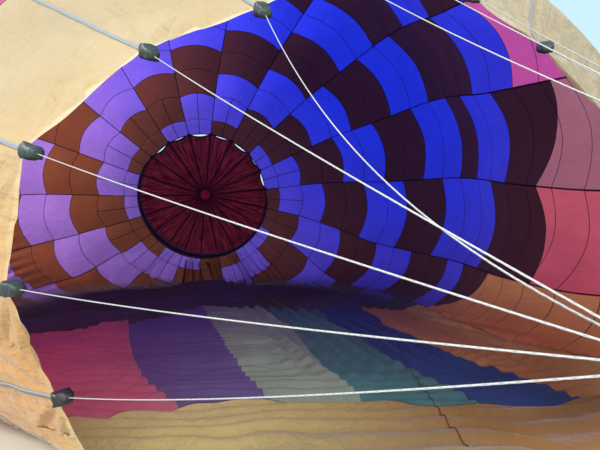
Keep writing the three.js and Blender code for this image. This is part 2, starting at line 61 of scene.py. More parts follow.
camera.rotation_euler = (math.radians(92.9), 0, math.radians(-16))
bpy.context.scene.collection.objects.link(camera)
bpy.context.scene.camera = camera


# The cut of the envelope, as a pattern maker has it: distance behind the mouth, radius, and height
# of the widest level above the ground, from crown to mouth. Every piece of cloth is laid on it.
MOUTH_Y = -7.105
GORES = 20
SHELL = 0.010
TAPE_UNDER = 0.006
MOUTH_CLOTH = 2.0
LOBE = 0.110
CORNER_SHARE = 0.35
GATHER_LENGTH = 5.2
SECTIONS = np.array([
    [16.30, 2.62, 3.95], [16.22, 3.25, 3.95], [15.80, 4.15, 3.95], [15.00, 4.95, 3.90],
    [13.90, 5.65, 3.80], [12.20, 6.40, 3.55], [10.10, 6.70, 3.30], [8.00, 6.50, 3.05],
    [5.95, 5.90, 2.72], [3.98, 5.10, 2.30], [2.50, 4.25, 1.95], [1.20, 3.10, 1.75],
    [0.00, 2.15, 1.60],
])
BEHIND, RADIUS, LEVEL = 0, 1, 2
steps = np.diff(SECTIONS, axis=0)
SECTION_RUN = np.append(0, np.cumsum(np.hypot(steps[:, BEHIND], steps[:, RADIUS])))
GORE_LENGTH = SECTION_RUN[-1]
CLOTH_END = GORE_LENGTH - MOUTH_CLOTH


def smooth(low, high, x):
    """0 below low, 1 above high, and an even curve between."""
    t = np.clip((x - low) / (high - low), 0, 1)
    return t * t * (3 - 2 * t)


def along(run, column):
    """One column of the cut at a length down the gore, as a smooth curve through the sections."""
    value = SECTIONS[:, column]
    last = len(value) - 1
    before = np.maximum(np.arange(last + 1) - 1, 0)
    after = np.minimum(np.arange(last + 1) + 1, last)
    slope = (value[after] - value[before]) / (SECTION_RUN[after] - SECTION_RUN[before])
    i = np.clip(np.searchsorted(SECTION_RUN, run) - 1, 0, last - 1)
    step = SECTION_RUN[i + 1] - SECTION_RUN[i]
    t = (run - SECTION_RUN[i]) / step
    return ((2 * t**3 - 3 * t**2 + 1) * value[i] + (t**3 - 2 * t**2 + t) * step * slope[i]
            + (-2 * t**3 + 3 * t**2) * value[i + 1] + (t**3 - t**2) * step * slope[i + 1])


def towards(angle, centre, width):
    """1 in one direction, in degrees clockwise from the top, and down to 0 to either side of it."""
    return np.exp(-((((angle - centre + 180) % 360 - 180) / width) ** 2))


def seam_angle(seam, run):
    """Degrees round the section, clockwise from the top, of a place counted in gores."""
    even = 4 + 360 / GORES * seam
    crown = even + 7 * np.sin(np.radians(even))
    mouth = crown + 15 * towards(even, 333, 34) - 2.5 * towards(even, 0, 90)
    share = smooth(GORE_LENGTH - GATHER_LENGTH, GORE_LENGTH, run)
    # the cloth isn't yet spread on the lower right, where it lies together in folds
    bunched = 15 * towards(even, 124, 32) * smooth(0, 6, run) * (1 - smooth(14.8, 18.2, run))
    return crown + (mouth - crown) * share + bunched


def half_section(run, count=241):
    """Points round half a section: even on its round part, and the rest shared out below."""
    radius, level = along(run, RADIUS), along(run, LEVEL)
    lift = SHELL + TAPE_UNDER * smooth(CLOTH_END - 0.6, CLOTH_END - 0.05, run)
    drop = min(level - lift, radius)
    corner = radius * (1 - (1 - CORNER_SHARE) * smooth(0, 0.3, 1 - drop / radius))
    a = np.linspace(0, math.pi / 2, 61)
    x = np.concatenate([radius * np.sin(a), radius - corner + corner * np.cos(a[1:]), [0]])
    z = np.concatenate([level + radius * np.cos(a), level - drop * np.sin(a[1:]), [level - drop]])
    length = np.append(0, np.cumsum(np.hypot(np.diff(x), np.diff(z))))
    turn = np.linspace(0, 180, count)
    even = math.pi * radius / 180
    wanted = even * turn + (length[-1] - even * 180) * smooth(95, 150, turn)
    return np.stack([np.interp(wanted, length, x), np.interp(wanted, length, z)], axis=1)


SECTION_TABLE = np.array([half_section(run) for run in np.linspace(0, GORE_LENGTH, 801)])


def read_section(run, share):
    """Across and height on the sections, at a length down the gore and a share of the way round."""
    row = np.clip(run / GORE_LENGTH * 800, 0, 799.999)
    column = np.clip(share * 240, 0, 239.999)
    r, c = row.astype(int), column.astype(int)
    row, column = (row - r)[..., None], (column - c)[..., None]
    near = SECTION_TABLE[r, c] * (1 - column) + SECTION_TABLE[r, c + 1] * column
    far = SECTION_TABLE[r + 1, c] * (1 - column) + SECTION_TABLE[r + 1, c + 1] * column
    return near * (1 - row) + far * row


def inner_face(seam, run):
    """The smooth inner face of the cloth at a place counted in gores and a length down the gore."""
    seam, run = np.broadcast_arrays(np.asarray(seam, float), np.asarray(run, float))
    turned = (seam_angle(seam, run) + 180) % 360 - 180
    flat = read_section(run, np.abs(turned) / 180)
    x, z = flat[..., 0] * np.where(turned < 0, -1, 1), flat[..., 1]
    radius, level = along(run, RADIUS), along(run, LEVEL)
    direction = np.degrees(np.arctan2(x, z - level))
    up = GORE_LENGTH - run
    # the mouth is drawn in on its left by the wires, and bellies out behind its edge on its right
    near = 1 - smooth(0, 2.6, up)
    belly = smooth(0, 1.8, up) * (1 - smooth(2.2, 6.6, up))
    pull = 1 + near * (0.18 * towards(direction, 80, 38) - 0.18 * towards(direction, 330, 28)
                       - 0.11 * towards(direction, 243, 20))
    pull = pull + belly * (0.36 * towards(direction, 68, 42) + 0.16 * towards(direction, 125, 28))
    # and its lower lip lies askew on the ground
    skew = (1 - smooth(2, 5, up)) * (0.50 * towards(direction, 205, 40)
                                     - 0.70 * towards(direction, 112, 30))
    free = smooth(SHELL, 0.9, z) * smooth(0, 1.5, run)
    free = free * (1 - smooth(GORE_LENGTH - 4.5, GORE_LENGTH - 2.1, run))
    swell = 1 + LOBE / radius * free * np.sin(math.pi * (seam % 1))
    z = np.where(z > level, level + (z - level) * pull * swell, z)
    return np.stack([x * pull * swell, MOUTH_Y + along(run, BEHIND) + skew, z], axis=-1)


def outward(seam, run):
    """Unit normal of the cloth, pointing out of the envelope."""
    probe = 0.02
    middle = np.floor(seam) + 0.5
    inside = np.clip(seam, middle - 0.48, middle + 0.48)
    side = inner_face(inside + probe, run) - inner_face(inside - probe, run)
    down = (inner_face(seam, np.minimum(run + 0.02, GORE_LENGTH))
            - inner_face(seam, np.maximum(run - 0.02, 0)))
    normal = np.cross(down, side)
    return normal / np.linalg.norm(normal, axis=-1, keepdims=True)


# Cloth panels: every gore is cut from panels sewn edge to edge, most of them 1.1 m down the gore, and
# shorter ones next to the mouth cloth. A panel's seams curve away from the crown in mid gore.
PANEL = 1.1
PANEL_ENDS = [0.0, 0.62, 1.60, 2.68, 3.78, 4.86, 5.96, 7.08, 8.24, 9.42, 10.62, 11.76, 12.62, 13.32,
              13.96, 14.60, 15.30, 16.00, 16.70, CLOTH_END]
LAST_ROW = len(PANEL_ENDS) - 1
SEAM_CURVE = 0.13


def run_at(row, seam):
    """Length down the gore of a place counted in panels, on a place counted in gores."""
    run = np.interp(row, range(LAST_ROW + 1), PANEL_ENDS)
    even = 4 + 360 / GORES * seam
    lean = 0.42 * towards(even, 35, 38) - 0.36 * towards(even, 100, 24)
    curve = SEAM_CURVE * np.sin(math.pi * (seam % 1)) * smooth(0, 8, row)
    return run + (curve + lean * smooth(3, 9, row)) * (1 - smooth(LAST_ROW - 4, LAST_ROW, row))


def row_at(run, seam):
    """The same the other way round."""
    row = np.interp(run, PANEL_ENDS, range(LAST_ROW + 1))
    for _ in range(4):
        row = row - (run_at(row, seam) - run) / PANEL
    return row


def wool(points, *scale):
    """Soft noise from -1 to 1 at each point, after stretching by scale."""
    flat = (np.asarray(points).reshape(-1, 3) * np.array(scale)).tolist()
    value = np.array([noise.noise(point) for point in flat])
    return value.reshape(np.shape(points)[:-1])


WAVE_LENGTH = 0.29
FOLD_WIDTH = 0.30
FOLD_DEPTH = 0.132


def ground_rise(at):
    """How far cloth on the ground rises from it: ripples across it, and one swell of trapped air."""
    x, y = at[..., 0], at[..., 1]
    flat = np.stack([x, y, 0 * x], axis=-1)
    ripple = np.abs(wool(flat, 0.45, 1.6, 1)) * 0.10 + np.abs(wool(flat, 1.7, 3.9, 1)) * 0.035
    swell = 0.52 * np.exp(-((x + 0.1) / 1.5) ** 2 - ((y - 4.9) / 1.5) ** 2)
    ripple = ripple * (0.35 + 0.65 * smooth(-3, 3, y))
    # cloth to spare lies in waves along the envelope's width
    bend = 0.45 * wool(flat, 0.5, 0.6, 1) + 0.12 * wool(flat, 1.9, 1.2, 1)
    wave = (y + 0.22 * x + bend) * 2 * math.pi / WAVE_LENGTH
    spare = (0.030 + 0.009 * smooth(MOUTH_Y + 1.6, MOUTH_Y + 2.4, y)) * (1 + np.sin(wave))
    spare = spare * (0.9 + 0.7 * wool(flat, 0.7, 1.3, 1)) + 0.010 * np.abs(wool(flat, 2.5, 2.0, 1))
    # and on the right, where it isn't spread yet, in deeper folds that run towards the crown
    bend = 0.16 * wool(flat, 0.5, 0.35, 1) + 0.03 * wool(flat, 2.0, 1.2, 1)
    fold = (x + bend) * 2 * math.pi / FOLD_WIDTH
    bunched = smooth(0.0, 1.0, x) * (1 - smooth(3.8, 5.0, x))
    bunched = bunched * smooth(-5.5, -3.0, y) * (1 - smooth(6.5, 8.5, y))
    lift = ripple + swell + spare * (1 - bunched) + FOLD_DEPTH / 2 * bunched * (1 + np.sin(fold))
    return lift * smooth(MOUTH_Y - 0.05, MOUTH_Y + 0.4, y)


def gathers(seam, run):
    """Folds below the crown, where the cloth isn't drawn tight yet: 1 on a fold, down to -1 between."""
    even = 4 + 360 / GORES * (seam % GORES)
    place = np.stack([seam * 1.7, run, 0 * run], axis=-1)
    below = np.exp(-((even - 178) / 46) ** 4) * smooth(0, 0.35, run) * (1 - smooth(2.2, 5.5, run))
    return below * np.sin(2 * math.pi * (2.5 * seam + 1.6 * wool(place, 0.8, 0.45, 1)))


def folds(seam, run, at):
    """How far the cloth stands out of its smooth face: puckers, puffs, folds and slack."""
    across = seam % 1
    width = 2 * math.pi * along(run, RADIUS) / GORES
    side = np.minimum(across, 1 - across) * width
    row = row_at(run, seam)
    place = np.stack([seam * 1.7, run, 0 * run], axis=-1)
    calm = smooth(0, 0.5, run) * (1 - smooth(GORE_LENGTH - 0.5, GORE_LENGTH - 0.1, run))
    puff = 0.020 * np.abs(np.sin(math.pi * row)) ** 0.8 * np.sin(math.pi * across) ** 0.7
    puff = puff * (1 - smooth(CLOTH_END - 0.4, CLOTH_END, run))
    pucker = 0.011 * np.exp(-side / 0.13) * wool(place, 0.6, 4.2, 1)
    slack = 0.035 * wool(at, 0.33, 0.28, 0.4) + 0.012 * wool(at, 1.3, 0.8, 1.5)
    gather = 0.085 * gathers(seam, run)
    # folds down the low left side, where no air has reached the cloth yet
    even = 4 + 360 / GORES * (seam % GORES)
    limp = towards(even, 244, 22) * smooth(4.2, 6.4, run)
    limp = limp * (1 - smooth(GORE_LENGTH - 5, GORE_LENGTH - 3, run))
    hang = 0.046 * limp * np.sin(2 * math.pi * 5 * seam + 2.2 * wool(place, 0.3, 0.5, 1))
    standing = calm * (puff + pucker + slack) + gather + hang
    lying = 1 - smooth(0.012, 0.45, at[..., 2])
    return standing * (1 - lying) - ground_rise(at) * lying


def cloth(seam, run, height=0.0):
    """The cloth as it hangs, at a height outside its own face."""
    seam, run = np.broadcast_arrays(np.asarray(seam, float), np.asarray(run, float))
    at = inner_face(seam, run)
    normal = outward(seam, run)
    # between two fittings the mouth's hem is drawn straight
    tight = smooth(GORE_LENGTH - 0.9, GORE_LENGTH, run)[..., None]
    left, right = inner_face(np.floor(seam), run), inner_face(np.floor(seam) + 0.999, run)
    chord = left + (right - left) * (seam % 1)[..., None]
    shaped = at + (chord - at) * tight
    point = shaped + normal * (SHELL / 2 + height + folds(seam, run, at))[..., None]
    point[..., 2] = np.maximum(point[..., 2], np.maximum(0.004 - height, 0.0005))
    return point


# Vent line: the dark red cord that opens the valve. It hangs from the valve's ring, lies along the
# cloth on the ground, and ends at the mouth in a small steel ring. Braided, 8 mm.
VENT_RADIUS = 0.004
VENT_RING = 0.020
VENT_ROUTE = [
    [0.008, 15.188, 3.912], [0.014, 15.186, 3.850], [0.130, 15.160, 3.300], [0.290, 15.090, 2.500],
    [0.400, 14.960, 1.600], [0.480, 14.760, 0.800], [0.560, 14.480, 0.260], [0.680, 14.150, 0.060],
    [0.840, 13.800, 0.018], [1.150, 13.150, 0.018], [1.900, 12.300, 0.018], [2.450, 11.500, 0.018],
    [3.050, 10.500, 0.018], [3.250, 9.500, 0.018], [3.180, 8.600, 0.018], [3.350, 7.600, 0.018],
    [3.250, 6.700, 0.018], [2.880, 5.800, 0.018], [2.700, 4.900, 0.018], [2.450, 4.000, 0.018],
    [2.050, 3.100, 0.018], [1.750, 2.300, 0.024], [1.480, 1.500, 0.024], [1.250, 0.800, 0.024],
    [1.130, 0.400, 0.024],
]


def through(points, count):
    """Points evenly along a smooth curve through the given ones, as a list of arrays."""
    p = np.array(points, float)
    p = np.vstack([2 * p[0] - p[1], p, 2 * p[-1] - p[-2]])
    knot = np.append(0, np.cumsum(np.sqrt(np.linalg.norm(np.diff(p, axis=0), axis=1))))
    fine = []
    for i in range(1, len(p) - 2):
        for t in np.linspace(knot[i], knot[i + 1], 24, endpoint=False):
            a = [p[j] + (p[j + 1] - p[j]) * (t - knot[j]) / (knot[j + 1] - knot[j])
                 for j in (i - 1, i, i + 1)]
            b = [a[j] + (a[j + 1] - a[j]) * (t - knot[i - 1 + j]) / (knot[i + 1 + j] - knot[i - 1 + j])
                 for j in (0, 1)]
            fine.append(b[0] + (b[1] - b[0]) * (t - knot[i]) / (knot[i + 1] - knot[i]))
    fine = np.array(fine + [p[-2]])
    length = np.append(0, np.cumsum(np.linalg.norm(np.diff(fine, axis=0), axis=1)))
    wanted = np.linspace(0, length[-1], count)
    return np.stack([np.interp(wanted, length, fine[:, k]) for k in range(3)], axis=1)


def new_object(name, verts, faces, uv=None):
    """A mesh piece from points and faces, smooth, with a cut plan as its UV map if given."""
    mesh = bpy.data.meshes.new(name)
    mesh.from_pydata(np.asarray(verts).reshape(-1, 3).tolist(), [], faces)
    mesh.polygons.foreach_set("use_smooth", [True] * len(mesh.polygons))
    if uv is not None:
        corner = np.empty(len(mesh.loops), int)
        mesh.loops.foreach_get("vertex_index", corner)
        layer = mesh.uv_layers.new(name="cut")
        layer.data.foreach_set("uv", np.asarray(uv, float).reshape(-1, 2)[corner].ravel())
    piece = bpy.data.objects.new(name, mesh)
    bpy.context.scene.collection.objects.link(piece)
    return piece


def tube(path, radius, sides=8, closed=False):
    """Points, faces and UVs of a round line along a path, with its ends capped."""
    path = np.asarray(path, float)
    ahead = np.roll(path, -1, axis=0) - path if closed else np.gradient(path, axis=0)
    ahead /= np.linalg.norm(ahead, axis=1, keepdims=True)
    side = np.cross(ahead[0], [0.31, 0.52, 0.79])
    verts, uv, reach = [], [], 0.0
    for i, (point, forward) in enumerate(zip(path, ahead)):
        side = side - forward * side.dot(forward)
        side /= np.linalg.norm(side)
        up = np.cross(forward, side)
        size = radius[i] if hasattr(radius, "__len__") else radius
        if i:
            reach += np.linalg.norm(point - path[i - 1])
        for k in range(sides):
            a = 2 * math.pi * k / sides
            verts.append(point + (side * math.cos(a) + up * math.sin(a)) * size)
            uv.append((k / sides, reach))
    rings = len(path)
    faces = []
    for i in range(rings if closed else rings - 1):
        for k in range(sides):
            a, b = i * sides + k, i * sides + (k + 1) % sides
            c, d = b + sides, a + sides
            faces.append((a, b, c % (rings * sides), d % (rings * sides)))
    if not closed:
        faces.append(tuple(range(sides))[::-1])
        faces.append(tuple(range((rings - 1) * sides, rings * sides)))
    return verts, faces, uv


class Mixer:
    """Makes the nodes of one material."""

    def __init__(self, name):
        self.material = bpy.data.materials.new(name)
        self.material.use_nodes = True
        self.tree = self.material.node_tree
        self.tree.nodes.clear()
        self.output = self.tree.nodes.new("ShaderNodeOutputMaterial")

    def node(self, kind, inputs=(), **settings):
        made = self.tree.nodes.new("ShaderNode" + kind)
        for key, value in settings.items():
            setattr(made, key, value)
        for key, value in dict(inputs).items():
            if isinstance(value, bpy.types.NodeSocket):
                self.tree.links.new(value, made.inputs[key])
            else:
                made.inputs[key].default_value = value
        return made

    def calc(self, operation, a, b=0.0, c=0.0):
        return self.node("Math", {0: a, 1: b, 2: c}, operation=operation).outputs[0]

    def line(self, distance, half_width, soft=1.35):
        """1 within half_width of a line, 0 beyond."""
        made = self.node("MapRange", {0: distance, 1: half_width, 2: half_width * soft, 3: 1.0, 4: 0.0})
        return made.outputs[0]

    def blend(self, share, a, b, how="MIX"):
        made = self.node("Mix", {0: share, 6: a, 7: b}, data_type="RGBA", blend_type=how)
        return made.outputs[2]

    def bump(self, height, strength, distance, normal=None):
        inputs = {"Height": height, "Strength": strength, "Distance": distance}
        if normal is not None:
            inputs["Normal"] = normal
        return self.node("Bump", inputs).outputs[0]

    def finish(self, shader):
        self.tree.links.new(shader, self.output.inputs["Surface"])
        return self.material


def paint(hex_colour):
    """A colour in Blender's own light, from the six figures of a screen colour."""
    part = np.array([int(hex_colour[i:i + 2], 16) for i in (0, 2, 4)]) / 255
    light = np.where(part <= 0.04045, part / 12.92, ((part + 0.055) / 1.055) ** 2.4)
    return (*light.tolist(), 1.0)


def mixed(a, b, share):
    """A colour part of the way from one screen colour to another."""
    a, b = np.array(paint(a)), np.array(paint(b))
    return tuple(a + (b - a) * share)


def braided_cord(name, colour, strands, rough=0.6):
    """A braided cord: strands that cross each other, with painted shade darkening the grooves a little.
    """
    mix = Mixer(name)
    cut = mix.node("UVMap", uv_map="cut").outputs[0]
    parts = mix.node("SeparateXYZ", {0: cut})
    along_cord = mix.calc("MULTIPLY", parts.outputs[1], strands * 9)
    around = mix.calc("MULTIPLY", parts.outputs[0], strands)
    one = mix.calc("SINE", mix.calc("MULTIPLY", mix.calc("ADD", around, along_cord), 6.2832))
    other = mix.calc("SINE", mix.calc("MULTIPLY", mix.calc("SUBTRACT", around, along_cord), 6.2832))
    weave = mix.calc("MAXIMUM", one, other)
    dark_patches = mix.node("TexNoise", {"Scale": 9.0, "Detail": 3.0}).outputs[0]
    worn = mix.blend(mix.calc("MULTIPLY", dark_patches, 0.35), paint(colour), paint("8c8478"), "MULTIPLY")
    # painted shade in the grooves between the strands
    groove_shade = mix.node("MapRange", {0: weave, 1: -0.6, 2: 0.6, 3: 0.62, 4: 1.0}).outputs[0]
    shade = mix.blend(1.0, worn, mix.node("CombineXYZ", {0: groove_shade, 1: groove_shade, 2: groove_shade}).outputs[0],
                      "MULTIPLY")
    surface = mix.node("BsdfPrincipled", {
        "Base Color": shade, "Roughness": rough, "Normal": mix.bump(weave, 0.5, 0.0008)})
    return mix.finish(surface.outputs[0])


def steel(name, colour, rough):
    """Bare steel: fine brushing and a little tarnish."""
    mix = Mixer(name)
    place = mix.node("TexCoord").outputs["Object"]
    long = mix.node("Mapping", {0: place, 3: (900.0, 60.0, 900.0)}).outputs[0]
    brush = mix.node("TexNoise", {"Vector": long, "Scale": 1.0, "Detail": 3.0}).outputs[0]
    tarnish = mix.node("TexNoise", {"Vector": place, "Scale": 45.0, "Detail": 6.0}).outputs[0]
    tone = mix.blend(mix.calc("MULTIPLY", tarnish, 0.55), paint(colour), paint("8a847a"))
    gloss = mix.node("MapRange", {0: tarnish, 1: 0.3, 2: 0.8, 3: rough, 4: rough + 0.25}).outputs[0]
    surface = mix.node("BsdfPrincipled", {"Base Color": tone, "Metallic": 1.0, "Roughness": gloss,
                                          "Normal": mix.bump(brush, 0.15, 0.0004)})
    return mix.finish(surface.outputs[0])


bright_steel = steel("bright steel", "c9cbce", 0.24)
vent_path = through([[x, MOUTH_Y + behind, z] for x, behind, z in VENT_ROUTE], 420)
vent_path[:, 2] += ground_rise(vent_path) * (1 - smooth(0.03, 0.6, vent_path[:, 2]))
red_cord = braided_cord("vent cord", "6a1620", 4)
v, f, t = tube(vent_path, VENT_RADIUS, 8)
vent_line = new_object("vent_line_cord", v, f, t)
vent_line.data.materials.append(red_cord)
vent_end = vent_path[-1]
ring_angles = np.radians(np.arange(0, 360, 15))
ring_middle = vent_end + np.array([-0.008, -0.026, 0.0])
ring_path = ring_middle + VENT_RING * np.stack([np.cos(ring_angles), np.sin(ring_angles),
                                                0 * ring_angles], axis=1)
v, f, t = tube(ring_path, 0.0038, 10, closed=True)
vent_ring = new_object("vent_line_end_ring", v, f, t)
vent_ring.data.materials.append(bright_steel)
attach(vent_ring, "envelope")
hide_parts("vent_line_ring")
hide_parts("vent_line")
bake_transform(vent_line)


# Gores: twenty strips of coated ripstop nylon, each sewn from panels in the colours of the pattern.
# Checks of violet and brown run in steps round the crown, and each gore ends in a band of one colour.
# The load seams are rigged in four corners of five, counted from seam 14
CORNERS = 4
PER_CORNER = 5
FIRST_SEAM = 14
ACROSS = 22                      # faces across a gore
PER_PANEL = 16                   # faces down a panel
# The two colours of the checks, each in a lit and a shaded copy: with painted sunlight on the left side
# of the envelope, and in painted shade on its right side
PANEL_COLOURS = {"V": ("9a6ac0", "2638ec"), "B": ("7c402c", "36192f")}
# painted light: the bands of gores 3, 4 and 5 are lighter copies of the rose, coral and orange of gores
# 15, 14 and 13, and gore 11's band, which lies on the ground, is painted lighter for light that doesn't
# reach it
BAND_COLOURS = [
    "5a42e8", "b48ae0", "f25fb4", "cc7788", "f4667a", "dc8658", "d4a06c", "3f5c9a", "66989a",
    "b4c4b0", "8c76ae", "ea8ea2", "d9a05c", "c8784e", "e45c6c", "b4687a", "f25fb4", "5a42e8",
    "3c4a92", "5a8478",
]
# row of panels that the checks reach on the left, in the middle and on the right of each gore
CHECKS_END = [
    (15.0, 15.2, 15.4), (15.4, 15.0, 14.2), (14.0, 14.0, 14.0), (15.4, 14.8, 14.4), (14.4, 14.7, 15.2),
    (13.1, 12.2, 10.9), (10.5, 10.2, 9.9), (9.6, 9.4, 9.3), (9.7, 9.4, 9.1), (9.0, 8.7, 8.3),
    (8.2, 9.3, 10.4), (9.7, 10.4, 10.7), (10.8, 11.2, 11.5), (11.5, 10.8, 9.8), (9.8, 10.4, 10.8),
    (12.6, 13.2, 13.6), (14.2, 13.8, 13.2), (12.2, 11.8, 11.2), (13.2, 13.8, 14.2), (15.4, 15.0, 14.6),
]
LATE_CHECKS = {2: "BVV", 3: "VVBB", 4: "VBBB", 5: "BBBB"}     # from the eleventh row on


def check_of(gore, row):
    """V or B: which of its two colours a panel of the checks has."""
    late = LATE_CHECKS.get(gore, "")
    if 11 <= row < 11 + len(late):
        return late[row - 11]
    return "V" if (gore - row) % 4 >= 2 else "B"


def ground_shade(colour, share):
    """A colour moved a share of the way to slate: painted shade, where no light comes through the cloth
    from behind.
    """
    slate = paint("665a60")
    return tuple(part + (dim - part) * share for part, dim in zip(colour, slate))


def ripstop(name, rough):
    """Coated cloth with the light coming through, and painted shade on its seams, where the cloth lies
    double and the load tapes outside keep the light out.
    """
    mix = Mixer(name)
    cut = mix.node("UVMap", uv_map="cut").outputs[0]
    parts = mix.node("SeparateXYZ", {0: cut})
    across, row = parts.outputs[0], parts.outputs[1]
    width = mix.node("Attribute", attribute_name="width").outputs[2]
    edge = mix.node("Attribute", attribute_name="past_checks").outputs[2]
    checks = mix.node("Attribute", attribute_name="check").outputs[0]
    band = mix.node("Attribute", attribute_name="band").outputs[0]
    colour = mix.blend(mix.calc("GREATER_THAN", edge, 0.0), checks, band)
    # distances in metres to the seams beside, to the seam above or below, and to the half seam
    beside = mix.calc("MULTIPLY", mix.calc("PINGPONG", across, 0.5), width)
    rows = mix.calc("MULTIPLY", mix.calc("PINGPONG", row, 0.5), PANEL)
    half = mix.calc("MULTIPLY", mix.calc("ABSOLUTE", mix.calc("SUBTRACT", across, 0.5)), width)
    half = mix.calc("ADD", half, mix.calc("MULTIPLY", mix.calc("GREATER_THAN", row, 2.0), 9.0))
    border = mix.calc("MULTIPLY", mix.calc("ABSOLUTE", edge), PANEL)
    level_seam = mix.line(mix.calc("MINIMUM", mix.calc("MINIMUM", rows, half), border), 0.011)
    # on the ground, where no light comes through from behind, the painted seam shade shows less
    lying = mix.node("Attribute", attribute_name="lying").outputs[2]
    load_seam = mix.calc("MULTIPLY", mix.line(beside, 0.010), mix.calc("SUBTRACT", 1.0, lying))
    faint = mix.calc("SUBTRACT", 1.0, mix.calc("MULTIPLY", lying, 0.72))
    level_seam = mix.calc("MULTIPLY", level_seam, faint)
    seam = mix.calc("MAXIMUM", level_seam, load_seam)
    # dye and dust, in soft clouds and in fine streaks down the gore
    place = mix.node("TexCoord").outputs["Object"]
    cloud = mix.node("TexNoise", {"Vector": place, "Scale": 0.9, "Detail": 4.0}).outputs[0]
    stretched = mix.node("Mapping", {0: place, 3: (2.5, 0.35, 2.5)}).outputs[0]
    streak = mix.node("TexNoise", {"Vector": stretched, "Scale": 3.0, "Detail": 5.0}).outputs[0]
    tone = mix.calc("ADD", mix.calc("MULTIPLY", cloud, 0.35), mix.calc("MULTIPLY", streak, 0.25))
    tone = mix.calc("ADD", tone, 0.72)
    colour = mix.blend(1.0, colour, mix.node("CombineXYZ", {0: tone, 1: tone, 2: tone}).outputs[0],
                       "MULTIPLY")
    # less light comes through where the gathers lay the cloth double
    doubled = mix.node("Attribute", attribute_name="doubled").outputs[2]
    colour = mix.blend(mix.calc("MULTIPLY", doubled, 0.95), colour, paint("30202e"), "MULTIPLY")
    # painted shade: the seams darkened, for the light that double cloth and the load tapes keep out
    seam_shaded = mix.blend(mix.calc("MULTIPLY", seam, 0.72), colour, paint("2a1c28"), "MULTIPLY")
    seam_shaded = mix.blend(mix.calc("MULTIPLY", seam, 0.5), seam_shaded, paint("120c14"))
    # the ripstop grid, the wrinkles that fabric keeps from its bag, and the raised seam
    grid_u = mix.calc("PINGPONG", mix.calc("MULTIPLY", across, mix.calc("MULTIPLY", width, 60)), 0.5)
    grid_v = mix.calc("PINGPONG", mix.calc("MULTIPLY", row, PANEL * 60), 0.5)
    grid = mix.line(mix.calc("MINIMUM", grid_u, grid_v), 0.07)
    crease = mix.node("TexNoise", {"Vector": place, "Scale": 2.6, "Detail": 6.0, "Roughness": 0.6,
                                   "Distortion": 0.8}).outputs[0]
    ridge = mix.calc("ABSOLUTE", mix.calc("SUBTRACT", crease, 0.5))
    normal = mix.bump(ridge, 0.35, 0.10)
    normal = mix.bump(streak, 0.25, 0.05, normal)
    normal = mix.bump(mix.calc("ADD", mix.calc("MULTIPLY", grid, 0.15), seam), 0.35, 0.004, normal)
    front = mix.node("BsdfPrincipled", {"Base Color": seam_shaded, "Roughness": rough, "Normal": normal,
                                        "Sheen Weight": 0.15})
    behind = mix.node("BsdfTranslucent", {"Color": seam_shaded, "Normal": normal})
    both = mix.node("MixShader", {0: 0.70, 1: front.outputs[0], 2: behind.outputs[0]})
    return mix.finish(both.outputs[0])


def colour_layer(mesh, name, colours):
    """Gives each corner of each face the colour of its face."""
    layer = mesh.color_attributes.new(name, "FLOAT_COLOR", "CORNER")
    sizes = np.empty(len(mesh.polygons), int)
    mesh.polygons.foreach_get("loop_total", sizes)
    layer.data.foreach_set("color", np.repeat(np.array(colours, float), sizes, axis=0).ravel())


def number_layer(mesh, name, values):
    """Gives each point a number."""
    layer = mesh.attributes.new(name, "FLOAT", "POINT")
    layer.data.foreach_set("value", np.asarray(values, float).ravel())


def grid_faces(columns, lines):
    """Faces of a grid whose points run down each column in turn, facing out of the envelope."""
    i, j = np.meshgrid(np.arange(columns), np.arange(lines), indexing="ij")
    a = (i * (lines + 1) + j).ravel()
    return np.stack([a, a + 1, a + lines + 2, a + lines + 1], axis=1).tolist()


gore_cloth = ripstop("gore cloth", 0.42)
gore_rows = np.linspace(0, LAST_ROW, LAST_ROW * PER_PANEL + 1)
for g in range(GORES):
    share, row = np.meshgrid(np.linspace(0, 1, ACROSS + 1), gore_rows, indexing="ij")
    seam = g + np.clip(share, 0.0, 0.99999)
    run = run_at(row, seam)
    points = cloth(seam, run)
    gore = new_object(f"gore_{g:02d}_cloth", points, grid_faces(ACROSS, len(gore_rows) - 1),
                      np.stack([share, row], axis=-1))
    face_row = np.tile(gore_rows[:-1] + 1e-6, ACROSS).astype(int)
    middle = points[:-1, :-1].reshape(-1, 3)
    # painted light and shade: the checks go from their sunlit colour low on the left to their shaded
    # colour high on the right
    shade = smooth(-5.6, 9.5, middle[:, 0] + 0.8 * (middle[:, 2] - 3))
    lying = 1 - smooth(SHELL, 0.45, inner_face(seam, run)[..., 2])
    # painted shade on cloth lying on the ground, up to 88 percent of the way to slate
    ground = 0.88 * lying[:-1, :-1].ravel()
    colour_layer(gore.data, "check", [
        ground_shade(mixed(*PANEL_COLOURS[check_of(g, r)], a), b) for r, a, b in zip(face_row, shade, ground)])
    colour_layer(gore.data, "band", [paint(BAND_COLOURS[g])] * len(face_row))
    number_layer(gore.data, "past_checks", row - np.interp(share, [0, 0.5, 1], CHECKS_END[g]))
    width = 2 * math.pi * along(run, RADIUS) / GORES
    number_layer(gore.data, "width", width)
    number_layer(gore.data, "lying", lying)
    number_layer(gore.data, "doubled", smooth(0.55, 0.95, gathers(seam, run)))
    gore.data.materials.append(gore_cloth)
    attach(gore, "envelope")
    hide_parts(f"gore_{g:02d}")
    corner = (g - FIRST_SEAM) % GORES // PER_CORNER + 1


# Mouth cloth: four panels of cream flame-resistant cloth, heavier and duller than the gores, with
# a folded hem at the mouth. Creases fan out from the fittings that pull on it.
HEM = 0.045


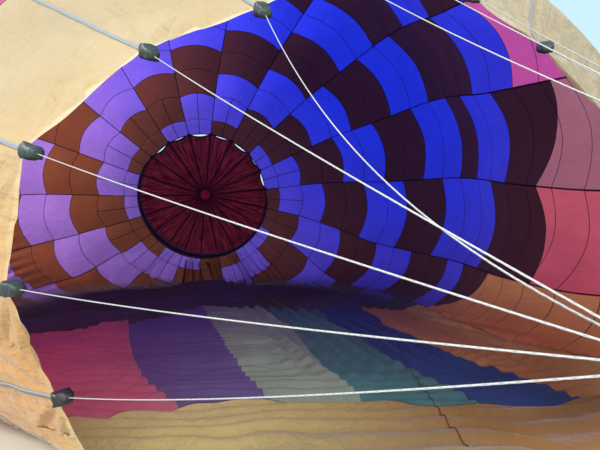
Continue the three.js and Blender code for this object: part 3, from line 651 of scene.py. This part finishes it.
def scrim(name):
    """Aramid cloth: a plain weave without gloss, with sewn joins and a paler hem."""
    mix = Mixer(name)
    cut = mix.node("UVMap", uv_map="cut").outputs[0]
    parts = mix.node("SeparateXYZ", {0: cut})
    beside = mix.calc("MULTIPLY", mix.calc("PINGPONG", parts.outputs[0], 0.5), 0.8)
    to_hem = parts.outputs[1]
    hem = mix.calc("LESS_THAN", to_hem, HEM)
    stitch = mix.line(mix.calc("ABSOLUTE", mix.calc("SUBTRACT", to_hem, HEM)), 0.004)
    join = mix.line(mix.calc("ABSOLUTE", mix.calc("SUBTRACT", to_hem, 1.02)), 0.008)
    seam = mix.calc("MAXIMUM", mix.calc("MAXIMUM", stitch, join), mix.line(beside, 0.018))
    place = mix.node("TexCoord").outputs["Object"]
    cloud = mix.node("TexNoise", {"Vector": place, "Scale": 1.6, "Detail": 5.0}).outputs[0]
    colour = mix.blend(mix.calc("MULTIPLY", cloud, 0.8), paint("b29f7a"), paint("968056"))
    colour = mix.blend(hem, colour, paint("b9ae90"))
    colour = mix.blend(mix.calc("MULTIPLY", seam, 0.14), colour, paint("8d7a50"))
    # painted shade in large soft patches
    dark_patches = mix.node("TexNoise", {"Vector": place, "Scale": 0.45, "Detail": 3.0}).outputs[0]
    dark_patches = mix.node("MapRange", {0: dark_patches, 1: 0.50, 2: 0.66, 3: 0.0, 4: 0.6}).outputs[0]
    colour = mix.blend(dark_patches, colour, paint("8f8568"))
    # low down it turns yellower, and it has painted sunlight warming it on the left side and painted
    # shade browning it on the right
    where = mix.node("SeparateXYZ", {0: place})
    low = mix.node("MapRange", {0: where.outputs[2], 1: 0.8, 2: 2.8, 3: 1.0, 4: 0.0}).outputs[0]
    colour = mix.blend(mix.calc("MULTIPLY", low, 0.8), colour, paint("c4b072"))
    painted_sunlight = mix.node("MapRange", {0: where.outputs[0], 1: -1.95, 2: -1.65, 3: 1.0, 4: 0.0}).outputs[0]
    standing = mix.node("MapRange", {0: where.outputs[2], 1: 0.05, 2: 0.4}).outputs[0]
    painted_sunlight = mix.calc("MULTIPLY", low, mix.calc("MULTIPLY", painted_sunlight, standing))
    colour = mix.blend(painted_sunlight, colour, paint("facba2"), "MULTIPLY")
    # painted shade: browner towards the right, low down
    right = mix.node("MapRange", {0: where.outputs[0], 1: -0.8, 2: 1.6, 3: 0.0, 4: 1.0}).outputs[0]
    colour = mix.blend(mix.calc("MULTIPLY", low, right), colour, paint("b7916b"), "MULTIPLY")
    weave_u = mix.calc("SINE", mix.calc("MULTIPLY", parts.outputs[0], 1500.0))
    weave_v = mix.calc("SINE", mix.calc("MULTIPLY", to_hem, 1900.0))
    crease = mix.node("TexNoise", {"Vector": place, "Scale": 3.0, "Detail": 5.0,
                                   "Distortion": 0.6}).outputs[0]
    drawn = mix.node("Mapping", {0: cut, 3: (9.0, 0.9, 1.0)}).outputs[0]
    pleat = mix.node("TexNoise", {"Vector": drawn, "Scale": 1.0, "Detail": 4.0}).outputs[0]
    ridge = mix.calc("ABSOLUTE", mix.calc("SUBTRACT", crease, 0.5))
    normal = mix.bump(ridge, 0.8, 0.09)
    normal = mix.bump(pleat, 0.55, 0.05, normal)
    normal = mix.bump(mix.calc("MULTIPLY", weave_u, weave_v), 0.2, 0.0008, normal)
    front = mix.node("BsdfPrincipled", {"Base Color": colour, "Roughness": 0.75, "Normal": normal,
                                        "Sheen Weight": 0.25})
    behind = mix.node("BsdfTranslucent", {"Color": colour, "Normal": normal})
    both = mix.node("MixShader", {0: 0.30, 1: front.outputs[0], 2: behind.outputs[0]})
    return mix.finish(both.outputs[0])


def fan(seam, run):
    """Creases in the mouth cloth, running out from the fitting at the end of each load tape."""
    nearest = np.round(seam)
    away = (seam - nearest) * 0.68
    up = GORE_LENGTH - run
    reach = np.hypot(away, up)
    angle = np.arctan2(away, up + 0.02)
    wave = np.sin(angle * 13 + nearest * 2.3) * 0.6 + np.sin(angle * 29 + nearest * 5.1) * 0.4
    fade = smooth(0.015, 0.10, np.abs(away)) * smooth(0.02, 0.35, reach) * np.exp(-reach / 0.8)
    return 0.032 * wave * fade


def mouth_cloth(seam, run):
    """The mouth cloth as it hangs, with its creases."""
    standing = smooth(0.012, 0.45, inner_face(seam, run)[..., 2])
    return cloth(seam, run) + outward(seam, run) * (fan(seam, run) * standing)[..., None]


MOUTH_ACROSS = 20                # faces of the mouth cloth in the width of one gore
mouth_run = GORE_LENGTH - np.linspace(MOUTH_CLOTH - 0.009, 0, 60 + 1)
mouth_scrim = scrim("mouth cloth")
for c in range(CORNERS):
    first = FIRST_SEAM - 0.5 + c * PER_CORNER
    columns = PER_CORNER * MOUTH_ACROSS
    seam, run = np.meshgrid(first + np.linspace(0, PER_CORNER, columns + 1), mouth_run, indexing="ij")
    piece = new_object(f"mouth_cloth_{c + 1}_scrim", mouth_cloth(seam, run), grid_faces(columns, 60),
                       np.stack([seam - FIRST_SEAM + GORES, GORE_LENGTH - run], axis=-1))
    piece.data.materials.append(mouth_scrim)
    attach(piece, "envelope")
    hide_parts(f"mouth_cloth_{c + 1}")


# Load tapes: grey-blue webbing sewn over every seam from the crown to the mouth, where each ends
# in a loop for its flying wire. They lie on the outside of the cloth and take all the load.
TAPE_WIDTH = 0.028
TAPE_THICK = 0.0025


def webbing(name, colour):
    """Narrow woven webbing: ribs along it, a paler stitch line near both edges."""
    mix = Mixer(name)
    cut = mix.node("UVMap", uv_map="cut").outputs[0]
    parts = mix.node("SeparateXYZ", {0: cut})
    across, along_tape = parts.outputs[0], parts.outputs[1]
    rib = mix.calc("SINE", mix.calc("MULTIPLY", across, 75.0))
    pick = mix.calc("SINE", mix.calc("MULTIPLY", along_tape, 1800.0))
    off_stitch = mix.calc("SUBTRACT", mix.calc("PINGPONG", across, 0.5), 0.14)
    stitch = mix.line(mix.calc("ABSOLUTE", off_stitch), 0.035)
    dash = mix.calc("GREATER_THAN", mix.calc("SINE", mix.calc("MULTIPLY", along_tape, 900.0)), -0.3)
    stitch = mix.calc("MULTIPLY", stitch, dash)
    dust = mix.node("TexNoise", {"Scale": 5.0, "Detail": 5.0}).outputs[0]
    base = mix.blend(mix.calc("MULTIPLY", dust, 0.6), paint(colour), paint("c9c2b2"), "MULTIPLY")
    base = mix.blend(mix.calc("MULTIPLY", stitch, 0.5), base, paint("d5d8da"))
    relief = mix.calc("ADD", mix.calc("ADD", rib, mix.calc("MULTIPLY", pick, 0.5)), stitch)
    surface = mix.node("BsdfPrincipled", {"Base Color": base, "Roughness": 0.82,
                                          "Normal": mix.bump(relief, 0.4, 0.0007),
                                          "Sheen Weight": 0.2})
    return mix.finish(surface.outputs[0])


def strip(columns):
    """A closed flat strip from four columns of points: under left and right, over right and left."""
    count = len(columns[0])
    verts = np.concatenate(columns)
    faces = []
    for k in range(4):
        a, b = k * count, (k + 1) % 4 * count
        faces += [(a + i, a + i + 1, b + i + 1, b + i) for i in range(count - 1)]
    faces.append((0, count, 2 * count, 3 * count))
    faces.append((4 * count - 1, 3 * count - 1, 2 * count - 1, count - 1))
    return verts, faces


grey_webbing = webbing("load tape", "66788a")


def cloth_line(seam, step):
    """Points of the cloth's own mesh, from crown to mouth, on a load seam or one face beside it."""
    gore_seam = (seam + step / ACROSS) % GORES + 0 * gore_rows
    mouth_seam = seam + step / MOUTH_ACROSS + 0 * mouth_run
    return np.concatenate([cloth(gore_seam, run_at(gore_rows, gore_seam)),
                           mouth_cloth(mouth_seam, mouth_run)])


for c in range(CORNERS):
    verts, faces, uv = [], [], []
    for k in range(PER_CORNER):
        seam = (FIRST_SEAM + c * PER_CORNER + k) % GORES
        tape_run = np.append(run_at(gore_rows, seam), mouth_run)
        over_cloth = 0.002 + 0.003 * smooth(CLOTH_END - 0.05, CLOTH_END, tape_run)
        middle = cloth_line(seam, 0)
        normal = outward(seam + 0 * tape_run, tape_run)
        beside = {across: cloth_line(seam, across) - middle for across in (-1, 1)}
        columns = []
        for across, height in ((-1, 0), (1, 0), (1, 1), (-1, 1)):
            side = beside[across] / np.linalg.norm(beside[across], axis=1, keepdims=True)
            place = middle + side * TAPE_WIDTH / 2
            place = place + normal * (over_cloth + height * TAPE_THICK)[:, None]
            place[:, 2] = np.maximum(place[:, 2], 0.0005 + 0.001 * (1 - height))
            columns.append(place)
        v, f = strip(columns)
        faces += [tuple(i + len(verts) for i in face) for face in f]
        verts += v.tolist()
        uv += [(across, reach) for across in (0, 1, 1, 0) for reach in tape_run]
    piece = new_object(f"load_tapes_{c + 1}_webbing", verts, faces, uv)
    piece.data.materials.append(grey_webbing)
    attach(piece, "envelope")
    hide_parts(f"load_tapes_{c + 1}")


# Crown opening: the edge of the cloth is bound by webbing, and the load tapes go on over the valve
# to a flat steel ring, round which each is looped and sewn back on itself.
CROWN_Y = MOUTH_Y + SECTIONS[0, BEHIND]
CROWN_LEVEL = SECTIONS[0, LEVEL]
OPENING = 2.62
STRAP_END = OPENING + 0.03
CROWN_RISE = 0.15
STRAP_GAP = 0.016


def on_crown(radius, angle, outwards):
    """A point at the crown: distance from its middle, degrees clockwise from the top, height."""
    a = np.radians(angle)
    radius, a, outwards = np.broadcast_arrays(radius, a, outwards)
    return np.stack([radius * np.sin(a), CROWN_Y + outwards, CROWN_LEVEL + radius * np.cos(a)], axis=-1)


def domed(radius):
    return STRAP_GAP + CROWN_RISE * (1 - (radius / STRAP_END) ** 2)


around = np.linspace(0, GORES, 241)
angle = seam_angle(around, 0.0)
rim_columns = [on_crown(OPENING + out, angle, rise)
               for out, rise in ((0.004, 0.007), (0.044, 0.007), (0.044, 0.010), (0.004, 0.010))]
verts, faces = strip(rim_columns)
rim = new_object("crown_rim_webbing", verts, faces,
                 [(across, reach * 0.82) for across in (0, 1, 1, 0) for reach in around])
rim.data.materials.append(grey_webbing)
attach(rim, "envelope")
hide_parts("crown_rim_tape")

loop = [(0.225, 0.1590), (0.170, 0.1585), (0.130, 0.1575), (0.104, 0.1590), (0.0985, 0.1640),
        (0.0985, 0.1700), (0.104, 0.1750), (0.130, 0.1770), (0.160, 0.1745)]
spread = [(r, float(domed(r))) for r in np.linspace(0.20, STRAP_END, 26)]
route = np.array(loop + spread)
reach = np.append(0, np.cumsum(np.hypot(*np.diff(route, axis=0).T)))
slope = np.gradient(route, axis=0)
slope /= np.linalg.norm(slope, axis=1, keepdims=True)
verts, faces, uv = [], [], []
for seam in range(GORES):
    angle = seam_angle(seam, 0.0)
    across_strap = on_crown(1, angle + 90, 0) - on_crown(0, 0, 0)
    columns = []
    for side, height in ((-1, 0), (1, 0), (1, 1), (-1, 1)):
        out = -slope[:, 1] * height * 0.003
        up = slope[:, 0] * height * 0.003
        line = on_crown(route[:, 0] + out, angle, route[:, 1] + up)
        columns.append(line + across_strap * side * TAPE_WIDTH / 2)
    v, f = strip(columns)
    faces += [tuple(i + len(verts) for i in face) for face in f]
    verts += v.tolist()
    uv += [(across, length) for across in (0, 1, 1, 0) for length in reach]
straps = new_object("crown_straps", verts, faces, uv)
straps.data.materials.append(grey_webbing)
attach(straps, "envelope")
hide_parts("crown_tapes")


def dress(node, material):
    """Gives a carried-over piece its own finish."""
    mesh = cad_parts[node].data
    mesh.materials.clear()
    mesh.materials.append(material)


dress("crown_ring", bright_steel)


# Parachute valve: a disc of dark red cloth held against the crown opening from inside by the air.
# It bellies out between the crown tapes, has a black edge tape, and a bright patch at its middle.
VALVE_RADIUS = 2.76
VALVE_SEAT = -0.034
VALVE_RISE = 0.110


def valve_face(radius):
    return VALVE_SEAT + VALVE_RISE * np.maximum(0, 1 - (radius / (OPENING - 0.08)) ** 2)


def valve_reach(seam):
    """How far out the valve's edge comes: along the top it draws back between the tapes."""
    even = (4 + 360 / GORES * seam + 180) % 360 - 180
    top = smooth(-62, -40, even) * (1 - smooth(72, 92, even))
    draw = 0.200 + 0.030 * np.sin(np.floor(seam) * 2.4)
    return VALVE_RADIUS - draw * top * np.sin(math.pi * (seam % 1)) ** 0.45


def dark_ripstop(name):
    """The valve's cloth: radial seams darkened both as seams and as painted shadow of the crown tapes,
    two rings of seams, pleats with painted shade in them, and a little light through it.
    """
    mix = Mixer(name)
    cut = mix.node("UVMap", uv_map="cut").outputs[0]
    parts = mix.node("SeparateXYZ", {0: cut})
    radius = parts.outputs[1]
    beside = mix.calc("MULTIPLY", mix.calc("PINGPONG", parts.outputs[0], 0.5),
                     mix.calc("MULTIPLY", radius, 2 * math.pi / GORES))
    between = mix.calc("MULTIPLY", mix.calc("PINGPONG", mix.calc("ADD", parts.outputs[0], 0.5), 0.5),
                      mix.calc("MULTIPLY", radius, 2 * math.pi / GORES))
    ring = mix.calc("MINIMUM", mix.calc("ABSOLUTE", mix.calc("SUBTRACT", radius, 2.38)),
                   mix.calc("ABSOLUTE", mix.calc("SUBTRACT", radius, 1.15)))
    seam = mix.calc("MAXIMUM", mix.line(beside, 0.030), mix.calc("MULTIPLY", mix.line(ring, 0.016), 0.7))
    seam = mix.calc("MAXIMUM", seam, mix.calc("MULTIPLY", mix.line(between, 0.014), 0.7))
    place = mix.node("TexCoord").outputs["Object"]
    cloud = mix.node("TexNoise", {"Vector": place, "Scale": 1.1, "Detail": 5.0}).outputs[0]
    turned = mix.node("CombineXYZ", {0: mix.calc("MULTIPLY", parts.outputs[0], 3.0),
                                     1: mix.calc("MULTIPLY", radius, 0.5)}).outputs[0]
    pleat = mix.node("TexNoise", {"Vector": turned, "Scale": 3.0, "Detail": 5.0}).outputs[0]
    pleat = mix.node("MapRange", {0: pleat, 1: 0.35, 2: 0.65, 3: 0.0, 4: 1.0}).outputs[0]
    colour = mix.blend(mix.calc("MULTIPLY", cloud, 0.7), paint("a03244"), paint("6c1c34"))
    # painted shade: darker in the pleats, and the seams darkened, in part as painted shadow of the crown
    # tapes
    colour = mix.blend(pleat, colour, paint("8c4038"), "MULTIPLY")
    colour = mix.blend(mix.calc("MULTIPLY", seam, 0.85), colour, paint("1c070d"))
    normal = mix.bump(pleat, 0.6, 0.09)
    normal = mix.bump(seam, 0.4, 0.004, normal)
    front = mix.node("BsdfPrincipled", {"Base Color": colour, "Roughness": 0.5, "Normal": normal})
    behind = mix.node("BsdfTranslucent", {"Color": colour, "Normal": normal})
    both = mix.node("MixShader", {0: 0.45, 1: front.outputs[0], 2: behind.outputs[0]})
    return mix.finish(both.outputs[0])


radii_share = np.concatenate([np.linspace(0.02, 0.9, 40), np.linspace(0.92, 1, 9)])
seam, share = np.meshgrid(np.linspace(0, GORES, 20 * 14 + 1), radii_share, indexing="ij")
radius = share * valve_reach(seam)
belly = 0.045 * np.sin(math.pi * (seam % 1)) ** 0.8 * smooth(0.15, 1.2, radius)
belly = belly * (1 - smooth(2.25, 2.6, radius))
pleat_place = np.stack([np.cos(np.radians(seam * 18)) * 9, np.sin(np.radians(seam * 18)) * 9,
                        radius * 0.5], axis=-1)
belly += 0.012 * wool(pleat_place, 1, 1, 1) * smooth(0.1, 0.6, radius)
points = on_crown(radius, seam_angle(seam, 0.0), valve_face(radius) - 0.005 + belly)
points[-1] = points[0]
valve_cloth = new_object("parachute_valve_cloth", points, grid_faces(20 * 14, len(radii_share) - 1),
                         np.stack([seam, radius], axis=-1))
valve_cloth.data.flip_normals()
valve_cloth.data.materials.append(dark_ripstop("valve cloth"))
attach(valve_cloth, "valve")
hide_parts("parachute_valve")

black_webbing = webbing("valve edge tape", "1a171b")
around = np.linspace(0, GORES, 20 * 14 + 1)
angle = seam_angle(around, 0.0)
low_side = np.exp(-(((4 + 18 * around - 205 + 180) % 360 - 180) / 72) ** 2)
outer = valve_reach(around) + 0.004
inner = outer - 0.075 - 0.190 * low_side
edge_height = VALVE_SEAT - 0.016 - 0.020 * low_side * np.abs(np.sin(math.pi * around))
verts, faces = strip([
    on_crown(inner, angle, edge_height - 0.004), on_crown(outer, angle, edge_height - 0.004),
    on_crown(outer, angle, edge_height), on_crown(inner, angle, edge_height)])
edge_tape = new_object("valve_edge_webbing", verts, faces,
                       [(across, reach * 0.87) for across in (0, 1, 1, 0) for reach in around])
edge_tape.data.materials.append(black_webbing)
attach(edge_tape, "valve")
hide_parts("valve_edge_tape")


def plain_cloth(name, colour, worn, share):
    """A small piece of cloth in one colour, crumpled, with a share of the light coming through."""
    mix = Mixer(name)
    place = mix.node("TexCoord").outputs["Object"]
    cloud = mix.node("TexNoise", {"Vector": place, "Scale": 8.0, "Detail": 4.0}).outputs[0]
    tone = mix.blend(cloud, paint(colour), paint(worn))
    front = mix.node("BsdfPrincipled", {"Base Color": tone, "Roughness": 0.5,
                                        "Normal": mix.bump(cloud, 0.4, 0.01)})
    behind = mix.node("BsdfTranslucent", {"Color": tone})
    both = mix.node("MixShader", {0: share, 1: front.outputs[0], 2: behind.outputs[0]})
    return mix.finish(both.outputs[0])


dress("valve_centre_patch", plain_cloth("valve patch", "ff4a68", "f03a58", 0.6))


# Valve lines: ten thin black cords from the valve's edge to the ring that the vent line pulls on.
PULL_DEPTH = -1.100
PULL_RING = 0.030
black_cord = braided_cord("black cord", "1d1b1e", 4)
verts, faces, uv = [], [], []


def add_part(part):
    """Joins one more closed part to the piece that is being made."""
    v, f, t = part
    faces.extend(tuple(i + len(verts) for i in face) for face in f)
    verts.extend(np.asarray(v).tolist())
    uv.extend(t)


add_part(tube(np.stack([PULL_RING * np.sin(ring_angles), 0 * ring_angles + CROWN_Y + PULL_DEPTH,
                        CROWN_LEVEL + PULL_RING * np.cos(ring_angles)], axis=1), 0.006, 8, closed=True))
for i in range(10):
    t = np.linspace(0, 1, 14)
    seam = 2 * i + 1
    line = on_crown(PULL_RING + 0.002 + (VALVE_RADIUS - 0.055 - PULL_RING) * t, seam_angle(seam, 0.0),
                    PULL_DEPTH + (VALVE_SEAT - 0.026 - PULL_DEPTH) * t)
    line[:, 2] -= 0.04 * np.sin(math.pi * t)
    add_part(tube(line, 0.0035, 6))
valve_lines = new_object("valve_cords", verts, faces, uv)
valve_lines.data.materials.append(black_cord)
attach(valve_lines, "valve")
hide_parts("valve_lines")


# Flying wires: five to each corner of the rigging, of white sheathed wire. Each starts in a slate
# cloth cover at the end of a load tape, and all five end in one swaged ring.
CORNER_POINTS = [(-0.300, -2.150, 1.480), (0.500, -2.150, 1.730), (0.750, -2.150, 0.930),
                 (-0.050, -2.150, 0.680)]
WIRE_RADIUS = 0.0031
THIMBLE = 0.020
COVER_GAP = 0.034
COVER_LENGTH = 0.135
COVER_RINGS = 15
COVER_SIDES = 16
SLACK = {(0, 4): 0.26, (0, 0): 0.03, (0, 1): 0.02, (0, 2): 0.015, (1, 0): 0.05}   # by corner and wire
white_wire = braided_cord("white wire", "a4a8ac", 3, 0.5)
slate_cover = plain_cloth("wire cover", "2c3c40", "141c1f", 0.05)
black_knot = plain_cloth("black knot", "17171c", "0b0b0e", 0.02)


def cover(start, direction, seed):
    """A crumpled cloth sleeve, wide at the cloth and narrow at the wire, with a strap round it."""
    rings, sides = COVER_RINGS, COVER_SIDES
    sideways = np.cross(direction, [0, 0, 1.0])
    sideways /= np.linalg.norm(sideways)
    up = np.cross(sideways, direction)
    v, t = [], []
    for i in range(rings):
        s = i / (rings - 1)
        half = 0.056 * (1 - s) + 0.034 * s
        half += 0.008 * math.exp(-((s - 0.35) / 0.08) ** 2)
        pinch = min(1, 6 * s + 0.45) * min(1, 8 * (1 - s) + 0.45)
        for k in range(sides):
            a = 2 * math.pi * k / sides
            place = Vector((math.cos(a) * 1.6 + seed, math.sin(a) * 1.6, s * 5))
            crumple = 1 + 0.30 * noise.noise(place)
            across = half * crumple * pinch * math.copysign(abs(math.cos(a)) ** 0.5, math.cos(a))
            rise = 0.8 * half * crumple * pinch * math.copysign(abs(math.sin(a)) ** 0.5, math.sin(a))
            v.append(start + direction * COVER_LENGTH * s + sideways * across + up * rise)
            t.append((k / sides, s * COVER_LENGTH))
    f = [(i * sides + k, i * sides + (k + 1) % sides, (i + 1) * sides + (k + 1) % sides,
          (i + 1) * sides + k) for i in range(rings - 1) for k in range(sides)]
    f += [tuple(range(sides))[::-1], tuple(range((rings - 1) * sides, rings * sides))]
    return v, f, t


for c, (x, front, z) in enumerate(CORNER_POINTS):
    corner = np.array([x, MOUTH_Y + front, z])
    meet = corner + np.array([0, THIMBLE, 0])
    verts, faces, uv = [], [], []
    for k in range(PER_CORNER):
        seam = (FIRST_SEAM + c * PER_CORNER + k) % GORES
        end = cloth(np.array(float(seam)), np.array(GORE_LENGTH), 0.002)
        end[2] = max(end[2], 0.030)
        direction = (meet - end) / np.linalg.norm(meet - end)
        start = end + direction * COVER_GAP
        t = np.linspace(0, 1, 30)[:, None]
        slack = SLACK.get((c, k), 0.02)
        drop = slack * 4 * t * (1 - t) * np.array([0, 0, -1.0])
        leave = start + direction * (COVER_LENGTH - 0.03)
        add_part(tube(leave + (meet - leave) * t + drop, WIRE_RADIUS, 8))
    bead = np.linspace(-1, 1, 9)
    add_part(tube(meet + np.array([0, 0.016, 0]) * bead[:, None] + np.array([0, 0.004, 0]),
                  0.012 * np.sqrt(np.maximum(1 - (bead * 0.97) ** 2, 0.02)), 14))
    add_part(tube(corner + np.stack([0 * ring_angles, THIMBLE * np.cos(ring_angles),
                                     THIMBLE * np.sin(ring_angles)], axis=1), 0.005, 10, closed=True))
    wires = new_object(f"flying_wires_{c + 1}_sheathed", verts, faces, uv)
    wires.data.materials.append(white_wire)
    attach(wires, "envelope")
    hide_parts(f"flying_wires_{c + 1}")
    verts, faces, uv = [], [], []
    for k in range(PER_CORNER):
        seam = (FIRST_SEAM + c * PER_CORNER + k) % GORES
        end = cloth(np.array(float(seam)), np.array(GORE_LENGTH), 0.002)
        end[2] = max(end[2], 0.030)
        direction = (meet - end) / np.linalg.norm(meet - end)
        add_part(cover(end + direction * COVER_GAP, direction, 3.1 * (c * 5 + k)))
        # the loop of load tape that the wire is shackled to
        add_part(tube(np.linspace(end - direction * 0.012, end + direction * (COVER_GAP + 0.02), 4),
                      0.009, 8))
    covers = new_object(f"wire_covers_{c + 1}", verts, faces, uv)
    covers.data.materials.append(slate_cover)
    covers.data.materials.append(black_knot)
    if c == 0:
        # the lowest fitting on the left is tied with a black knot
        for face in covers.data.polygons[:COVER_RINGS * COVER_SIDES]:
            face.material_index = 1
    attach(covers, "envelope")


# Karabiners: forged steel hooks, one through the ring of each corner's flying wires. Each has a
# sprung gate on a pin, and all five wires of a corner pull on it.
forged_steel = steel("forged steel", "aeb2b6", 0.32)
for c in range(CORNERS):
    dress(f"karabiner_{c + 1}", forged_steel)
    dress(f"karabiner_gate_{c + 1}", bright_steel)


# Floor and light: a plain pale floor under an even pale sky. One soft sun stands on the left, behind
# the cloth, and a soft box in front of the mouth lights the cloth on the ground.
bpy.ops.mesh.primitive_plane_add(size=160, location=(0, 0, -0.002))
floor = bpy.context.object
floor.name = "floor"
mix = Mixer("pale floor")
grain = mix.node("TexNoise", {"Scale": 0.6, "Detail": 5.0}).outputs[0]
tone = mix.blend(grain, paint("aeaaa2"), paint("bebab2"))
floor.data.materials.append(mix.finish(
    mix.node("BsdfPrincipled", {"Base Color": tone, "Roughness": 0.85}).outputs[0]))

sun_data = bpy.data.lights.new("sun", "SUN")
sun_data.energy = 4.2
sun_data.angle = math.radians(12)
sun_data.color = (1.0, 0.90, 0.78)
sun = bpy.data.objects.new("sun", sun_data)
sun.rotation_euler = Vector((0.80, 0.08, -0.60)).to_track_quat("-Z", "Y").to_euler()
bpy.context.scene.collection.objects.link(sun)

softbox_data = bpy.data.lights.new("softbox", "AREA")
softbox_data.energy = 1500
softbox_data.shape = "RECTANGLE"
softbox_data.size = 9
softbox_data.size_y = 6
softbox_data.color = (1.0, 0.95, 0.88)
softbox = bpy.data.objects.new("softbox", softbox_data)
softbox.location = (-1.5, -15.5, 6.0)
softbox.rotation_euler = Vector((0.10, 1.0, -0.38)).to_track_quat("-Z", "Y").to_euler()
bpy.context.scene.collection.objects.link(softbox)

world = bpy.data.worlds.new("sky")
world.use_nodes = True
world.node_tree.nodes["Background"].inputs["Color"].default_value = (0.64, 0.90, 1.0, 1)
world.node_tree.nodes["Background"].inputs["Strength"].default_value = 1.0
bpy.context.scene.world = world
bpy.context.scene.view_settings.view_transform = "Standard"
